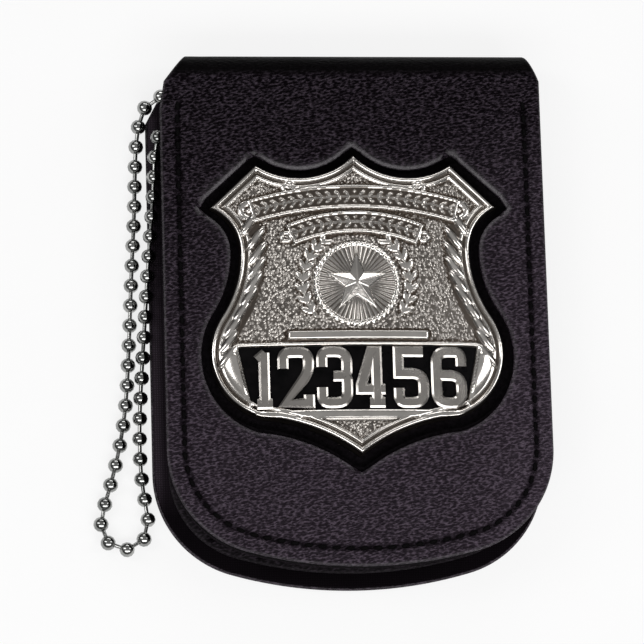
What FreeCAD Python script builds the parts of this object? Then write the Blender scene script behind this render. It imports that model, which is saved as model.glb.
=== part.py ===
import FreeCAD, Part
import math
import os
from FreeCAD import Vector

# Badge wallet lying on its back. Millimetres, +X right, +Y towards the fold, +Z out of the front.
# Patterns are drawn about the middle of the front half; the finished pieces stand about the whole case.

# Case outline
CASE_LENGTH = 112.8
FRONT_WIDTH = 80.0
SIDE_BORDER = 7.5
SIDE_RIM = 0.8
REAR_SHIFT = 1.35
BOTTOM_RIM = 2.85
FOLD_WIDTH = 78.0
FOLD_TAPER = 2.4
NECK_LENGTH = 6.0
CORNER_RADIUS = 22.0
BOTTOM_RADIUS = 90.0
LAYER_INSET = 0.4

# Layer thicknesses
LEATHER = 1.3
REAR_BOARD = 0.7
LINING = 0.5
WELT = 0.8
WINDOW = 0.35
FRAME = 0.6
INNER_GAP = 3.9
PIN_PAD = 1.4
BACKING = 0.9
RECESS_BOARD = 1.7

# Card pocket
FRAME_INSET = 3.2
FRAME_TOP_DROP = 6.7
WINDOW_SIDE = 14.2
WINDOW_TOP_DROP = 6.8
WINDOW_FOOT = 20.3
WINDOW_CORNER = 3.0
CARD_WIDTH = 54.0
CARD_HEIGHT = 86.0
CARD_PLAY = 0.6
CARD_TOP_DROP = 1.4
SHEET_INSET = 0.5

# Closure pads
PAD_WIDTH = 26.0
PAD_HEIGHT = 11.0
PAD_CORNER = 2.0
PAD_LIFT = 15.0
PAD_PLAY = 0.1

# Shield outline: shares of its half width, and drops measured down from the top point
SHIELD_DROP = 16.425
SCALLOP_SHARE = 0.34
SCALLOP_DROP = 4.7
PEAK_SHARE = 0.665
PEAK_DROP = 1.8
SHOULDER_SHARE = 0.984
SHOULDER_DROP = 10.8
WAIST_SHARE = 0.786
WAIST_DROP = 20.3
BELLY_DROP = 41.8
BELLY_RADIUS = 14.2
CORNER_RISE = 0.6
OGEE_SHARE = 0.307
OGEE_FALL = 2.7
FOOT_FALL = 8.1
CUTOUT_MARGIN = 1.9
BOARD_MARGIN = 2.3

# Shield relief
CROWN_RADIUS = 180.0
EDGE_HEIGHT = 1.6
HOLLOW_INSET = 3.0
HOLLOW_DEPTH = 1.2
RIM_WIDTH = 1.2
RIM_RISE = 0.5
RIBBON_RISE = 0.45
UPPER_RIBBON_DROP = 8.8
UPPER_RIBBON_WIDTH = 5.4
UPPER_RIBBON_INSET = 9.6
UPPER_RIBBON_SAG = 2.7
LOWER_RIBBON_DROP = 14.2
LOWER_RIBBON_WIDTH = 4.2
LOWER_RIBBON_INSET = 17.6
LOWER_RIBBON_SAG = 3.6
LEDGE_LIFT = 2.1
LEDGE_INSET = 16.4
LEDGE_HEIGHT = 2.3
LEDGE_RISE = 0.8
LEAF_LENGTH = 7.0
LEAF_WIDTH = 2.2
LEAF_RISE = 0.4
LEAF_INSET = 4.3
LEAF_TILT_DEG = 38.0
LEAF_FIRST_DROP = 15.2
LEAF_PITCH = 3.4
LEAF_COUNT = 7

# Number panel and numerals
PANEL_HEIGHT = 13.3
PANEL_FOOT_LIFT = 1.4
PANEL_TOP_INSET = 5.8
PANEL_BOTTOM_INSET = 8.6
PANEL_DEPTH = 0.6
PLATE_THICKNESS = 0.3
SOLDER = 0.05
NUMERAL_HEAD_GAP = 0.7
NUMERAL_FOOT_GAP = 0.6
NUMERAL_STROKE_SHARE = 0.32
NUMERAL_GAP = 1.1
NUMERAL_SIDE = 0.1
NUMERAL_COUNT = 6
NUMERAL_RISE = 0.5

# Centre device
EMBLEM_HEAD_GAP = 1.9
EMBLEM_FOOT_GAP = 0.85
EMBLEM_RISE = 0.3
EMBLEM_RING = 1.3
EMBLEM_RING_RISE = 0.7
STAR_GAP = 1.5
STAR_INNER_SHARE = 0.421875
STAR_RISE = 0.9
STAR_POINTS = 5

# Badge pin
PIN_DIAMETER = 0.9
PIN_CLEARANCE = 0.05
PIN_Y = 8.7
PIN_INSET = 14.1
POST_LENGTH = 4.4
POST_WIDTH = 3.4
POST_FLOOR = 0.05
POST_CORNER = 0.8
PIN_SEAT = 3.0
SLOT_PLAY = 0.4
CHANNEL_PLAY = 1.0

# Neck chain
CHAIN_DIAMETER = 3.2
CHAIN_SIDES = 8
SLEEVE_PLAY = 0.4
SLEEVE_WALL = 0.6
SLEEVE_LEFT = -26.0
SLEEVE_LENGTH = 46.0
SLEEVE_DROP = 3.2
CHAIN_LIFT = 0.05
HANK_RUNS = 4
HANK_STEP = 19.0
HANK_RIGHT = 35.0
HANK_SHOULDER = 6.5
HANK_BOTTOM = -31.0
HANK_BOW = 0.8
HANK_LEAD = 8.0
SLEEVE_BOW = 0.2
RUN_SHARES = (0.3, 0.68)
SLEEVE_SHARES = ((0.3, 0), (0.62, 1), (0.94, 0.6))
GAP_SAMPLES = 1200
MOUTH_GAP = 0.5
BEND_SHARE = 0.45
COUPLING_WALL = 0.3
COUPLING_LENGTH = 9.0
COUPLING_RUN = 2

# Chain outside the case: chain widths left of the rear half, shares of half the case length up
# from its middle, and lifts in chain radii
STRAND_SHARES = (
    (-3.424, 0.8196, 3.188),
    (-1.924, 0.8475, 3.13),
    (-0.794, 0.8652, 2.94),
    (0.106, 0.8298, 2.25),
    (0.576, 0.7444, 1.38),
    (0.736, 0.6210, 1),
    (0.937, 0.4198, 1),
    (1.406, 0.1895, 1),
    (1.734, -0.0762, 1),
    (2.078, -0.3507, 1),
    (2.736, -0.5731, 1),
    (3.576, -0.7483, 1),
    (3.076, -0.8211, 1),
    (1.896, -0.8506, 1),
    (0.706, -0.8211, 1),
    (0.236, -0.7483, 1),
    (0.766, -0.5997, 1),
    (0.826, -0.3950, 1),
    (0.628, -0.1824, 1),
    (0.516, 0.0124, 1.344),
    (0.299, 0.1541, 2.281),
    (-0.047, 0.3135, 2.813),
    (-0.364, 0.4916, 2.85),
    (-0.484, 0.6406, 3.06),
    (-0.794, 0.7272, 3.72),
)
ENTRY_SHARES = ((-1.674, 0.7717), (-3.014, 0.7609), (-4.184, 0.7235))

# Overrun of every cutting tool past the faces it cuts
OVERRUN = 2.0

# Levels up through the stack
Z_REAR_BOARD = LEATHER
Z_REAR_LINING = Z_REAR_BOARD + REAR_BOARD
Z_WELT = Z_REAR_LINING + LINING
Z_WINDOW = Z_WELT + WELT
Z_FRAME = Z_WINDOW + WINDOW
Z_GAP = Z_FRAME + FRAME
Z_FRONT_LINING = Z_GAP + INNER_GAP
Z_PIN_PAD = Z_FRONT_LINING + LINING
Z_BACKING = Z_PIN_PAD + PIN_PAD
Z_RECESS = Z_BACKING + BACKING
Z_FRONT_LEATHER = Z_RECESS + RECESS_BOARD
CASE_THICKNESS = Z_FRONT_LEATHER + LEATHER

# Lines the layers share
FOLD_RADIUS = CASE_THICKNESS / 2
FOLD_Y = CASE_LENGTH / 2 - FOLD_RADIUS
REAR_BOTTOM = -CASE_LENGTH / 2
FRONT_BOTTOM = REAR_BOTTOM + BOTTOM_RIM
FRAME_TOP = FOLD_Y - FRAME_TOP_DROP
PAD_Y = REAR_BOTTOM + PAD_LIFT
SHIELD_TOP = FOLD_Y - SHIELD_DROP
SHIELD_HALF = FRONT_WIDTH / 2 - SIDE_BORDER - CUTOUT_MARGIN
SCALLOP_X = SCALLOP_SHARE * SHIELD_HALF
PEAK_X = PEAK_SHARE * SHIELD_HALF
SHOULDER_X = SHOULDER_SHARE * SHIELD_HALF
WAIST_X = WAIST_SHARE * SHIELD_HALF
OGEE_X = OGEE_SHARE * SHIELD_HALF
CORNER_DROP = BELLY_DROP + BELLY_RADIUS - CORNER_RISE
OGEE_DROP = CORNER_DROP + OGEE_FALL
SHIELD_HEIGHT = CORNER_DROP + FOOT_FALL
PANEL_BOTTOM_DROP = CORNER_DROP - PANEL_FOOT_LIFT
PANEL_TOP_DROP = PANEL_BOTTOM_DROP - PANEL_HEIGHT
LEDGE_DROP = PANEL_TOP_DROP - LEDGE_LIFT
NUMERAL_HEIGHT = PANEL_HEIGHT - (NUMERAL_HEAD_GAP + NUMERAL_FOOT_GAP)
NUMERAL_DROP = PANEL_BOTTOM_DROP - NUMERAL_FOOT_GAP - NUMERAL_HEIGHT / 2
EMBLEM_HEAD = LOWER_RIBBON_DROP + LOWER_RIBBON_WIDTH / 2 + EMBLEM_HEAD_GAP
EMBLEM_FOOT = LEDGE_DROP - LEDGE_HEIGHT / 2 - EMBLEM_FOOT_GAP
EMBLEM_DROP = (EMBLEM_HEAD + EMBLEM_FOOT) / 2
EMBLEM_RADIUS = EMBLEM_DROP - EMBLEM_HEAD
STAR_RADIUS = EMBLEM_RADIUS - EMBLEM_RING - STAR_GAP
STAR_INNER = STAR_INNER_SHARE * STAR_RADIUS
PANEL_TOP_HALF = SHIELD_HALF - PANEL_TOP_INSET
PANEL_BOTTOM_HALF = SHIELD_HALF - PANEL_BOTTOM_INSET
NUMERAL_PITCH = 2 * (PANEL_BOTTOM_HALF - NUMERAL_SIDE) / NUMERAL_COUNT
NUMERAL_WIDTH = NUMERAL_PITCH - NUMERAL_GAP
PIN_SPAN = 2 * (SHIELD_HALF - PIN_INSET)
CROWN_RISE = SHOULDER_X ** 2 / (2 * CROWN_RADIUS)
CROWN_TOP = Z_RECESS + EDGE_HEIGHT + CROWN_RISE
CROWN_AXIS_Z = CROWN_TOP - CROWN_RADIUS
SHIELD_SPAN = SHIELD_HEIGHT + 2 * OVERRUN
CHAIN_RADIUS = CHAIN_DIAMETER / 2
REAR_HALF = FRONT_WIDTH / 2 + SIDE_RIM
REAR_LEFT = REAR_HALF + REAR_SHIFT
CENTRE_SHIFT = (REAR_LEFT - FRONT_WIDTH / 2) / 2
SLEEVE_BORE = CHAIN_RADIUS + SLEEVE_PLAY
SLEEVE_Y = FOLD_Y - SLEEVE_DROP
SLEEVE_Z = Z_WELT + SLEEVE_WALL + SLEEVE_BORE
SLEEVE_MOUTH = SLEEVE_LEFT - MOUTH_GAP
HANK_TOP = SLEEVE_Y - HANK_SHOULDER
HANK_Z = Z_GAP + CHAIN_RADIUS + CHAIN_LIFT
PIN_Z = Z_PIN_PAD + PIN_PAD / 2


def line(a, b):
    return Part.LineSegment(a, b).toShape()


def arc(a, middle, b):
    return Part.Arc(a, middle, b).toShape()


def face_of(edges):
    return Part.Face(Part.Wire(Part.__sortEdges__(edges)))


def prism(face, low, high):
    solid = face.extrude(Vector(0, 0, high - low))
    solid.translate(Vector(0, 0, low))
    return solid


def rectangle(left, right, bottom, top):
    corners = [Vector(left, bottom), Vector(right, bottom), Vector(right, top), Vector(left, top)]
    return Part.Face(Part.makePolygon(corners + corners[:1]))


def rounded_block(left, right, bottom, top, radius, low, high):
    block = prism(rectangle(left, right, bottom, top), low, high)
    upright = [e for e in block.Edges if abs(e.tangentAt(e.FirstParameter).z) > 0.5]
    return block.makeFillet(radius, upright)


def panel_face(half_width, bottom, inset, shift):
    """Leather blank: necked in at the fold, straight sides, round corners, bowed bottom edge.

    Below the neck the blank stands the given shift to the right."""
    half = half_width - inset
    half_top = FOLD_WIDTH / 2 - inset
    radius = CORNER_RADIUS - inset
    bow = BOTTOM_RADIUS - inset
    top = FOLD_Y - inset
    neck = FOLD_Y - NECK_LENGTH
    bow_centre = bottom + BOTTOM_RADIUS
    side = half - radius
    corner_y = bow_centre - math.sqrt((bow - radius) ** 2 - side ** 2)
    turn = math.atan2(side, bow_centre - corner_y)
    edges = [line(Vector(-half_top, top), Vector(half_top, top))]
    lows = []
    for sign in (1, -1):
        start = Vector(sign * half + shift, corner_y)
        aim = (math.pi / 2 + turn) / 2
        across = side + radius * math.sin(aim)
        middle = Vector(sign * across + shift, corner_y - radius * math.cos(aim))
        low = Vector(sign * bow * math.sin(turn) + shift, bow_centre - bow * math.cos(turn))
        edges.append(line(Vector(sign * half_top, top), Vector(sign * half + shift, neck)))
        edges.append(line(Vector(sign * half + shift, neck), start))
        edges.append(arc(start, middle, low))
        lows.append(low)
    edges.append(arc(lows[0], Vector(shift, bow_centre - bow), lows[1]))
    return face_of(edges)


def front_face(inset):
    return panel_face(FRONT_WIDTH / 2, FRONT_BOTTOM, inset, 0)


def rear_face(inset):
    return panel_face(REAR_HALF, REAR_BOTTOM, inset, -REAR_SHIFT)


def shield_face():
    """Shield: scalloped top, pointed shoulders, drawn-in waist, round belly and ogee foot."""
    rise = WAIST_DROP - SHOULDER_DROP
    reach = SHOULDER_X - WAIST_X
    neck_radius = (reach ** 2 + rise ** 2) / (2 * reach)
    swell = SHIELD_HALF - WAIST_X
    fall = BELLY_DROP - WAIST_DROP
    waist_radius = (swell ** 2 + fall ** 2) / (2 * swell) - BELLY_RADIUS
    neck_angle = math.asin(rise / neck_radius) / 2
    swing = math.atan2(fall, waist_radius + BELLY_RADIUS - swell)
    corner_x = SHIELD_HALF - BELLY_RADIUS
    corner_x += math.sqrt(BELLY_RADIUS ** 2 - (CORNER_DROP - BELLY_DROP) ** 2)
    edges = []
    for sign in (1, -1):
        def at(x, drop):
            return Vector(sign * x, SHIELD_TOP - drop)

        def on_waist(angle):
            x = WAIST_X + waist_radius * (1 - math.cos(angle))
            return at(x, WAIST_DROP + waist_radius * math.sin(angle))

        neck_x = WAIST_X + neck_radius * (1 - math.cos(neck_angle))
        neck_middle = at(neck_x, WAIST_DROP - neck_radius * math.sin(neck_angle))
        edges.append(arc(at(0, 0), at(SCALLOP_X, SCALLOP_DROP), at(PEAK_X, PEAK_DROP)))
        edges.append(line(at(PEAK_X, PEAK_DROP), at(SHOULDER_X, SHOULDER_DROP)))
        edges.append(arc(at(SHOULDER_X, SHOULDER_DROP), neck_middle, on_waist(0)))
        edges.append(arc(on_waist(0), on_waist(swing / 2), on_waist(swing)))
        edges.append(arc(on_waist(swing), at(SHIELD_HALF, BELLY_DROP), at(corner_x, CORNER_DROP)))
        edges.append(arc(at(corner_x, CORNER_DROP), at(OGEE_X, OGEE_DROP), at(0, SHIELD_HEIGHT)))
    return face_of(edges)


def grown(face, margin):
    return face.makeOffset2D(margin)


def crown(rise):
    """Everything under the shield's curved face, raised by the given amount."""
    start = Vector(0, SHIELD_TOP + OVERRUN, CROWN_AXIS_Z)
    return Part.makeCylinder(CROWN_RADIUS + rise, SHIELD_SPAN, start, Vector(0, -1, 0))


def under_crown(face, rise):
    return prism(face, Z_RECESS, CROWN_TOP + OVERRUN).common(crown(rise))


def between_crowns(face, low, high):
    return under_crown(face, high).cut(crown(low))


def ribbon_face(drop, width, inset, sag):
    """Scroll band: two arcs with the same centre, closed by straight ends."""
    reach = SHIELD_HALF - inset
    radius = (reach ** 2 + sag ** 2) / (2 * sag)
    centre = SHIELD_TOP - drop - radius
    angle = math.asin(reach / radius)

    def at(r, a):
        return Vector(r * math.sin(a), centre + r * math.cos(a))

    outer = radius + width / 2
    inner = radius - width / 2
    return face_of([
        arc(at(outer, -angle), at(outer, 0), at(outer, angle)),
        arc(at(inner, -angle), at(inner, 0), at(inner, angle)),
        line(at(outer, -angle), at(inner, -angle)),
        line(at(outer, angle), at(inner, angle)),
    ])


def side_at(drop):
    """Half width of the shield's flank at a drop below the top point."""
    probe = rectangle(0, SHIELD_HALF + OVERRUN, SHIELD_TOP - drop - SOLDER, SHIELD_TOP - drop)
    return probe.common(shield_face()).BoundBox.XMax


def leaf_face(sign, drop):
    """Lens-shaped leaf on the flank, its tip leaning towards the middle."""
    centre = Vector(sign * (side_at(drop) - LEAF_INSET), SHIELD_TOP - drop)
    lean = math.radians(LEAF_TILT_DEG)
    along = Vector(-sign * math.sin(lean), math.cos(lean))
    across = Vector(along.y, -along.x)
    tip = centre + along * (LEAF_LENGTH / 2)
    root = centre - along * (LEAF_LENGTH / 2)
    bulge = across * (LEAF_WIDTH / 2)
    return face_of([arc(root, centre + bulge, tip), arc(tip, centre - bulge, root)])


def number_face(inset):
    top = SHIELD_TOP - PANEL_TOP_DROP - inset
    bottom = SHIELD_TOP - PANEL_BOTTOM_DROP + inset
    high = PANEL_TOP_HALF - inset
    low = PANEL_BOTTOM_HALF - inset
    corners = [Vector(-high, top), Vector(high, top), Vector(low, bottom), Vector(-low, bottom)]
    return Part.Face(Part.makePolygon(corners + corners[:1]))


def badge_shield():
    outline = shield_face()
    ledge_y = SHIELD_TOP - LEDGE_DROP
    half_ledge = SHIELD_HALF - LEDGE_INSET
    ledge = rectangle(-half_ledge, half_ledge, ledge_y - LEDGE_HEIGHT / 2, ledge_y + LEDGE_HEIGHT / 2)
    upper = ribbon_face(UPPER_RIBBON_DROP, UPPER_RIBBON_WIDTH, UPPER_RIBBON_INSET, UPPER_RIBBON_SAG)
    lower = ribbon_face(LOWER_RIBBON_DROP, LOWER_RIBBON_WIDTH, LOWER_RIBBON_INSET, LOWER_RIBBON_SAG)
    raised = [
        under_crown(outline.cut(grown(outline, -RIM_WIDTH)), RIM_RISE),
        under_crown(upper, RIBBON_RISE),
        under_crown(lower, RIBBON_RISE),
        under_crown(ledge, LEDGE_RISE),
    ]
    for place in range(LEAF_COUNT):
        drop = LEAF_FIRST_DROP + place * LEAF_PITCH
        for sign in (1, -1):
            raised.append(under_crown(leaf_face(sign, drop), LEAF_RISE))
    shield = under_crown(outline, 0).multiFuse(raised).removeSplitter()
    hollow = prism(grown(outline, -HOLLOW_INSET), Z_RECESS - OVERRUN, Z_RECESS + HOLLOW_DEPTH)
    window = under_crown(number_face(0), LEDGE_RISE + OVERRUN).cut(crown(-PANEL_DEPTH))
    return shield.cut(hollow).cut(window)


def number_plate():
    floor = -PANEL_DEPTH + SOLDER
    return between_crowns(number_face(SOLDER), floor, floor + PLATE_THICKNESS)


def numeral_face(digit, x):
    """Block numeral built from the bars of a seven-bar grid."""
    half = NUMERAL_WIDTH / 2
    left = x - half
    right = x + half
    middle = SHIELD_TOP - NUMERAL_DROP
    low = middle - NUMERAL_HEIGHT / 2
    high = middle + NUMERAL_HEIGHT / 2
    stroke = NUMERAL_STROKE_SHARE * NUMERAL_WIDTH
    waist = stroke / 2
    bars = {
        "top": rectangle(left, right, high - stroke, high),
        "waist": rectangle(left, right, middle - waist, middle + waist),
        "foot": rectangle(left, right, low, low + stroke),
        "upper_left": rectangle(left, left + stroke, middle - waist, high),
        "upper_right": rectangle(right - stroke, right, middle - waist, high),
        "lower_left": rectangle(left, left + stroke, low, middle + waist),
        "lower_right": rectangle(right - stroke, right, low, middle + waist),
        "stem": rectangle(x - waist, x + waist, low, high),
        "flag": rectangle(x - stroke - waist, x, high - stroke, high),
    }
    used = {
        1: ("stem", "flag", "foot"),
        2: ("top", "upper_right", "waist", "lower_left", "foot"),
        3: ("top", "upper_right", "waist", "lower_right", "foot"),
        4: ("upper_left", "waist", "upper_right", "lower_right"),
        5: ("top", "upper_left", "waist", "lower_right", "foot"),
        6: ("top", "upper_left", "waist", "lower_left", "lower_right", "foot"),
    }[digit]
    shape = bars[used[0]].multiFuse([bars[name] for name in used[1:]])
    return shape.removeSplitter()


def numerals():
    floor = -PANEL_DEPTH + PLATE_THICKNESS + 2 * SOLDER
    solids = []
    for place in range(NUMERAL_COUNT):
        x = (place - (NUMERAL_COUNT - 1) / 2) * NUMERAL_PITCH
        solids += between_crowns(numeral_face(place + 1, x), floor, NUMERAL_RISE).Solids
    return Part.makeCompound(solids)


def emblem():
    centre = Vector(0, SHIELD_TOP - EMBLEM_DROP)
    disc = Part.Face(Part.Wire(Part.makeCircle(EMBLEM_RADIUS, centre)))
    hole = Part.Face(Part.Wire(Part.makeCircle(EMBLEM_RADIUS - EMBLEM_RING, centre)))
    corners = []
    for k in range(2 * STAR_POINTS):
        radius = STAR_INNER if k % 2 else STAR_RADIUS
        angle = math.pi / 2 + k * math.pi / STAR_POINTS
        corners.append(centre + Vector(math.cos(angle), math.sin(angle)) * radius)
    star = Part.Face(Part.makePolygon(corners + corners[:1]))
    seat = between_crowns(disc, SOLDER, EMBLEM_RISE)
    ring = between_crowns(disc.cut(hole), SOLDER, EMBLEM_RING_RISE)
    return seat.multiFuse([ring, between_crowns(star, SOLDER, STAR_RISE)]).removeSplitter()


def post(x, play):
    """Footprint of a pin post, grown all round by the given play."""
    half_length = POST_LENGTH / 2 + play
    half_width = POST_WIDTH / 2 + play
    return x - half_length, x + half_length, PIN_Y - half_width, PIN_Y + half_width


def pin_post(sign):
    x = sign * PIN_SPAN / 2
    block = rounded_block(*post(x, 0), POST_CORNER, Z_PIN_PAD + POST_FLOOR, Z_RECESS + HOLLOW_DEPTH)
    inner = x - sign * POST_LENGTH / 2
    start = Vector(inner + sign * PIN_SEAT, PIN_Y, PIN_Z)
    bore = Part.makeCylinder(
        PIN_DIAMETER / 2 + PIN_CLEARANCE, PIN_SEAT + OVERRUN, start, Vector(-sign, 0, 0))
    return block.cut(bore)


def pin_stem():
    half = PIN_SPAN / 2 - POST_LENGTH / 2 + PIN_SEAT - PIN_CLEARANCE
    return Part.makeCylinder(PIN_DIAMETER / 2, 2 * half, Vector(-half, PIN_Y, PIN_Z), Vector(1, 0, 0))


def front_leather():
    sheet = front_face(0).cut(grown(shield_face(), CUTOUT_MARGIN))
    return prism(sheet, Z_FRONT_LEATHER, CASE_THICKNESS)


def recess_board():
    sheet = front_face(LAYER_INSET).cut(grown(shield_face(), BOARD_MARGIN))
    return prism(sheet, Z_RECESS, Z_FRONT_LEATHER)


def badge_backing():
    sheet = prism(front_face(LAYER_INSET), Z_BACKING, Z_RECESS)
    for sign in (1, -1):
        slot = rectangle(*post(sign * PIN_SPAN / 2, SLOT_PLAY))
        sheet = sheet.cut(prism(slot, Z_BACKING - OVERRUN, Z_RECESS + OVERRUN))
    return sheet


def pin_pad():
    sheet = prism(front_face(LAYER_INSET), Z_PIN_PAD, Z_BACKING)
    left, right, low, high = post(0, CHANNEL_PLAY)
    channel = rectangle(left - PIN_SPAN / 2, right + PIN_SPAN / 2, low, high)
    return sheet.cut(prism(channel, Z_PIN_PAD - OVERRUN, Z_BACKING + OVERRUN))


def front_lining():
    return prism(front_face(LAYER_INSET), Z_FRONT_LINING, Z_PIN_PAD)


def rear_leather():
    return prism(rear_face(0), 0, LEATHER)


def rear_board():
    return prism(rear_face(LAYER_INSET), Z_REAR_BOARD, Z_REAR_LINING)


def rear_lining():
    return prism(rear_face(LAYER_INSET), Z_REAR_LINING, Z_WELT)


def pocket_face(inset):
    """Footprint of the card pocket: the rear outline drawn in, squared off below the chain sleeve."""
    below = rectangle(-REAR_LEFT, REAR_HALF, REAR_BOTTOM, FRAME_TOP - inset)
    return rear_face(FRAME_INSET + inset).common(below)


def pocket_welt():
    half = CARD_WIDTH / 2 + CARD_PLAY / 2
    top = FRAME_TOP - CARD_TOP_DROP
    room = rectangle(-half, FRONT_WIDTH, top - CARD_HEIGHT - CARD_PLAY, top)
    return prism(pocket_face(0).cut(room), Z_WELT, Z_WINDOW)


def id_window():
    return prism(pocket_face(SHEET_INSET), Z_WINDOW, Z_FRAME)


def id_window_frame():
    top = FRAME_TOP - WINDOW_TOP_DROP
    low = REAR_BOTTOM + FRAME_INSET + WINDOW_FOOT
    half = REAR_HALF - FRAME_INSET - WINDOW_SIDE
    left = -REAR_SHIFT - half
    right = half - REAR_SHIFT
    opening = rounded_block(left, right, low, top, WINDOW_CORNER, Z_FRAME - OVERRUN, Z_GAP + OVERRUN)
    return prism(pocket_face(0), Z_FRAME, Z_GAP).cut(opening)


def closure_pad(low, high):
    half = PAD_WIDTH / 2
    rise = PAD_HEIGHT / 2
    return rounded_block(-half, half, PAD_Y - rise, PAD_Y + rise, PAD_CORNER, low, high)


def hook_pad():
    return closure_pad(Z_GAP, Z_GAP + INNER_GAP / 2)


def loop_pad():
    return closure_pad(Z_GAP + INNER_GAP / 2 + PAD_PLAY, Z_FRONT_LINING)


def fold_leather():
    """Half tube of leather over the top, its ends cut back towards the crest."""
    half = FOLD_WIDTH / 2
    start = Vector(-half, FOLD_Y, FOLD_RADIUS)
    along = Vector(1, 0, 0)
    tube = Part.makeCylinder(FOLD_RADIUS, FOLD_WIDTH, start, along)
    tube = tube.cut(Part.makeCylinder(FOLD_RADIUS - LEATHER, FOLD_WIDTH, start, along))
    crest = FOLD_Y + FOLD_RADIUS
    corners = [
        Vector(-half, FOLD_Y),
        Vector(half, FOLD_Y),
        Vector(half - FOLD_TAPER, crest),
        Vector(FOLD_TAPER - half, crest),
    ]
    blank = Part.Face(Part.makePolygon(corners + corners[:1]))
    return tube.common(prism(blank, -OVERRUN, CASE_THICKNESS + OVERRUN))


def chain_sleeve():
    """Sewn sleeve under the fold: flat foot on the lining, round crown, bore for the chain."""
    half = SLEEVE_BORE + SLEEVE_WALL
    x = SLEEVE_LEFT
    left = SLEEVE_Y - half
    right = SLEEVE_Y + half
    profile = face_of([
        line(Vector(x, left, Z_WELT), Vector(x, right, Z_WELT)),
        line(Vector(x, right, Z_WELT), Vector(x, right, SLEEVE_Z)),
        arc(Vector(x, right, SLEEVE_Z), Vector(x, SLEEVE_Y, SLEEVE_Z + half), Vector(x, left, SLEEVE_Z)),
        line(Vector(x, left, SLEEVE_Z), Vector(x, left, Z_WELT)),
    ])
    start = Vector(x - OVERRUN, SLEEVE_Y, SLEEVE_Z)
    bore = Part.makeCylinder(SLEEVE_BORE, SLEEVE_LENGTH + 2 * OVERRUN, start, Vector(1, 0, 0))
    return profile.extrude(Vector(SLEEVE_LENGTH, 0, 0)).cut(bore)


def strand_points():
    """The chain outside the case: out of the sleeve, down, round the loop, up, and in again."""
    points = [Vector(SLEEVE_MOUTH, SLEEVE_Y, SLEEVE_Z)]
    for left, up, lift in STRAND_SHARES:
        x = -REAR_LEFT - left * CHAIN_DIAMETER
        points.append(Vector(x, up * CASE_LENGTH / 2, lift * CHAIN_RADIUS))
    for left, up in ENTRY_SHARES:
        x = -REAR_LEFT - left * CHAIN_DIAMETER
        points.append(Vector(x, up * CASE_LENGTH / 2, HANK_Z))
    return points


def run_points(run):
    """One run of the put-away chain, down or up, bowed a little to the right."""
    x = HANK_RIGHT - run * HANK_STEP
    first, last = (HANK_TOP, HANK_BOTTOM) if run % 2 == 0 else (HANK_BOTTOM, HANK_TOP)
    points = [Vector(x, first, HANK_Z)]
    for share in RUN_SHARES:
        points.append(Vector(x + HANK_BOW, first + (last - first) * share, HANK_Z))
    return points + [Vector(x, last, HANK_Z)]


def hank_points():
    """The chain put away: through the sleeve, then folded in even runs over the card window."""
    points = [Vector(SLEEVE_MOUTH, SLEEVE_Y, SLEEVE_Z)]
    for along, bow in SLEEVE_SHARES:
        points.append(Vector(SLEEVE_MOUTH + along * SLEEVE_LENGTH, SLEEVE_Y + bow * SLEEVE_BOW, SLEEVE_Z))
    points.append(Vector(HANK_RIGHT - HANK_SHOULDER, SLEEVE_Y, HANK_Z))
    for run in range(HANK_RUNS):
        points += run_points(run)
    before, end = strand_points()[-2:]
    points[-1] = end + (end - before).normalize() * HANK_LEAD
    points.append(end)
    return points


def route_wire(points):
    """Straight runs joined by tangent arcs."""
    edges = []
    start = points[0]
    for before, corner, after in zip(points, points[1:], points[2:]):
        back = before - corner
        ahead = after - corner
        reach = BEND_SHARE * min(back.Length, ahead.Length)
        back.normalize()
        ahead.normalize()
        turn = math.pi - back.getAngle(ahead)
        inward = (back + ahead).normalize()
        enter = corner + back * reach
        leave = corner + ahead * reach
        edges.append(line(start, enter))
        edges.append(arc(enter, corner + inward * (reach * math.tan(turn / 4)), leave))
        start = leave
    edges.append(line(start, points[-1]))
    return Part.Wire(edges)


def chain_tube(points):
    """Faceted tube of the beads' diameter along the route."""
    ahead = (points[1] - points[0]).normalize()
    across = ahead.cross(Vector(0, 0, 1)).normalize()
    upright = across.cross(ahead)
    corners = []
    for side in range(CHAIN_SIDES):
        angle = 2 * math.pi * side / CHAIN_SIDES
        corners.append(points[0] + (across * math.cos(angle) + upright * math.sin(angle)) * CHAIN_RADIUS)
    section = Part.makePolygon(corners + corners[:1])
    return route_wire(points).makePipeShell([section], True, False)


def least_gap(path):
    """Smallest clear space between stretches of the chain that lie further apart along it."""
    samples = path.discretize(GAP_SAMPLES)
    step = path.Length / (GAP_SAMPLES - 1)
    apart = math.ceil(math.pi * CHAIN_DIAMETER / step)
    nearest = min(
        (other - point).Length
        for place, point in enumerate(samples)
        for other in samples[place + apart:])
    return nearest - CHAIN_DIAMETER


def chain_coupling():
    """Clasp that joins the two ends of the chain, on a straight stretch of the put-away runs."""
    first, second = run_points(COUPLING_RUN)[1:-1]
    along = (second - first).normalize()
    start = (first + second) / 2 - along * (COUPLING_LENGTH / 2)
    bore = CHAIN_RADIUS + SOLDER
    body = Part.makeCylinder(bore + COUPLING_WALL, COUPLING_LENGTH, start, along)
    run = start - along * OVERRUN
    return body.cut(Part.makeCylinder(bore, COUPLING_LENGTH + 2 * OVERRUN, run, along))


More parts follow.
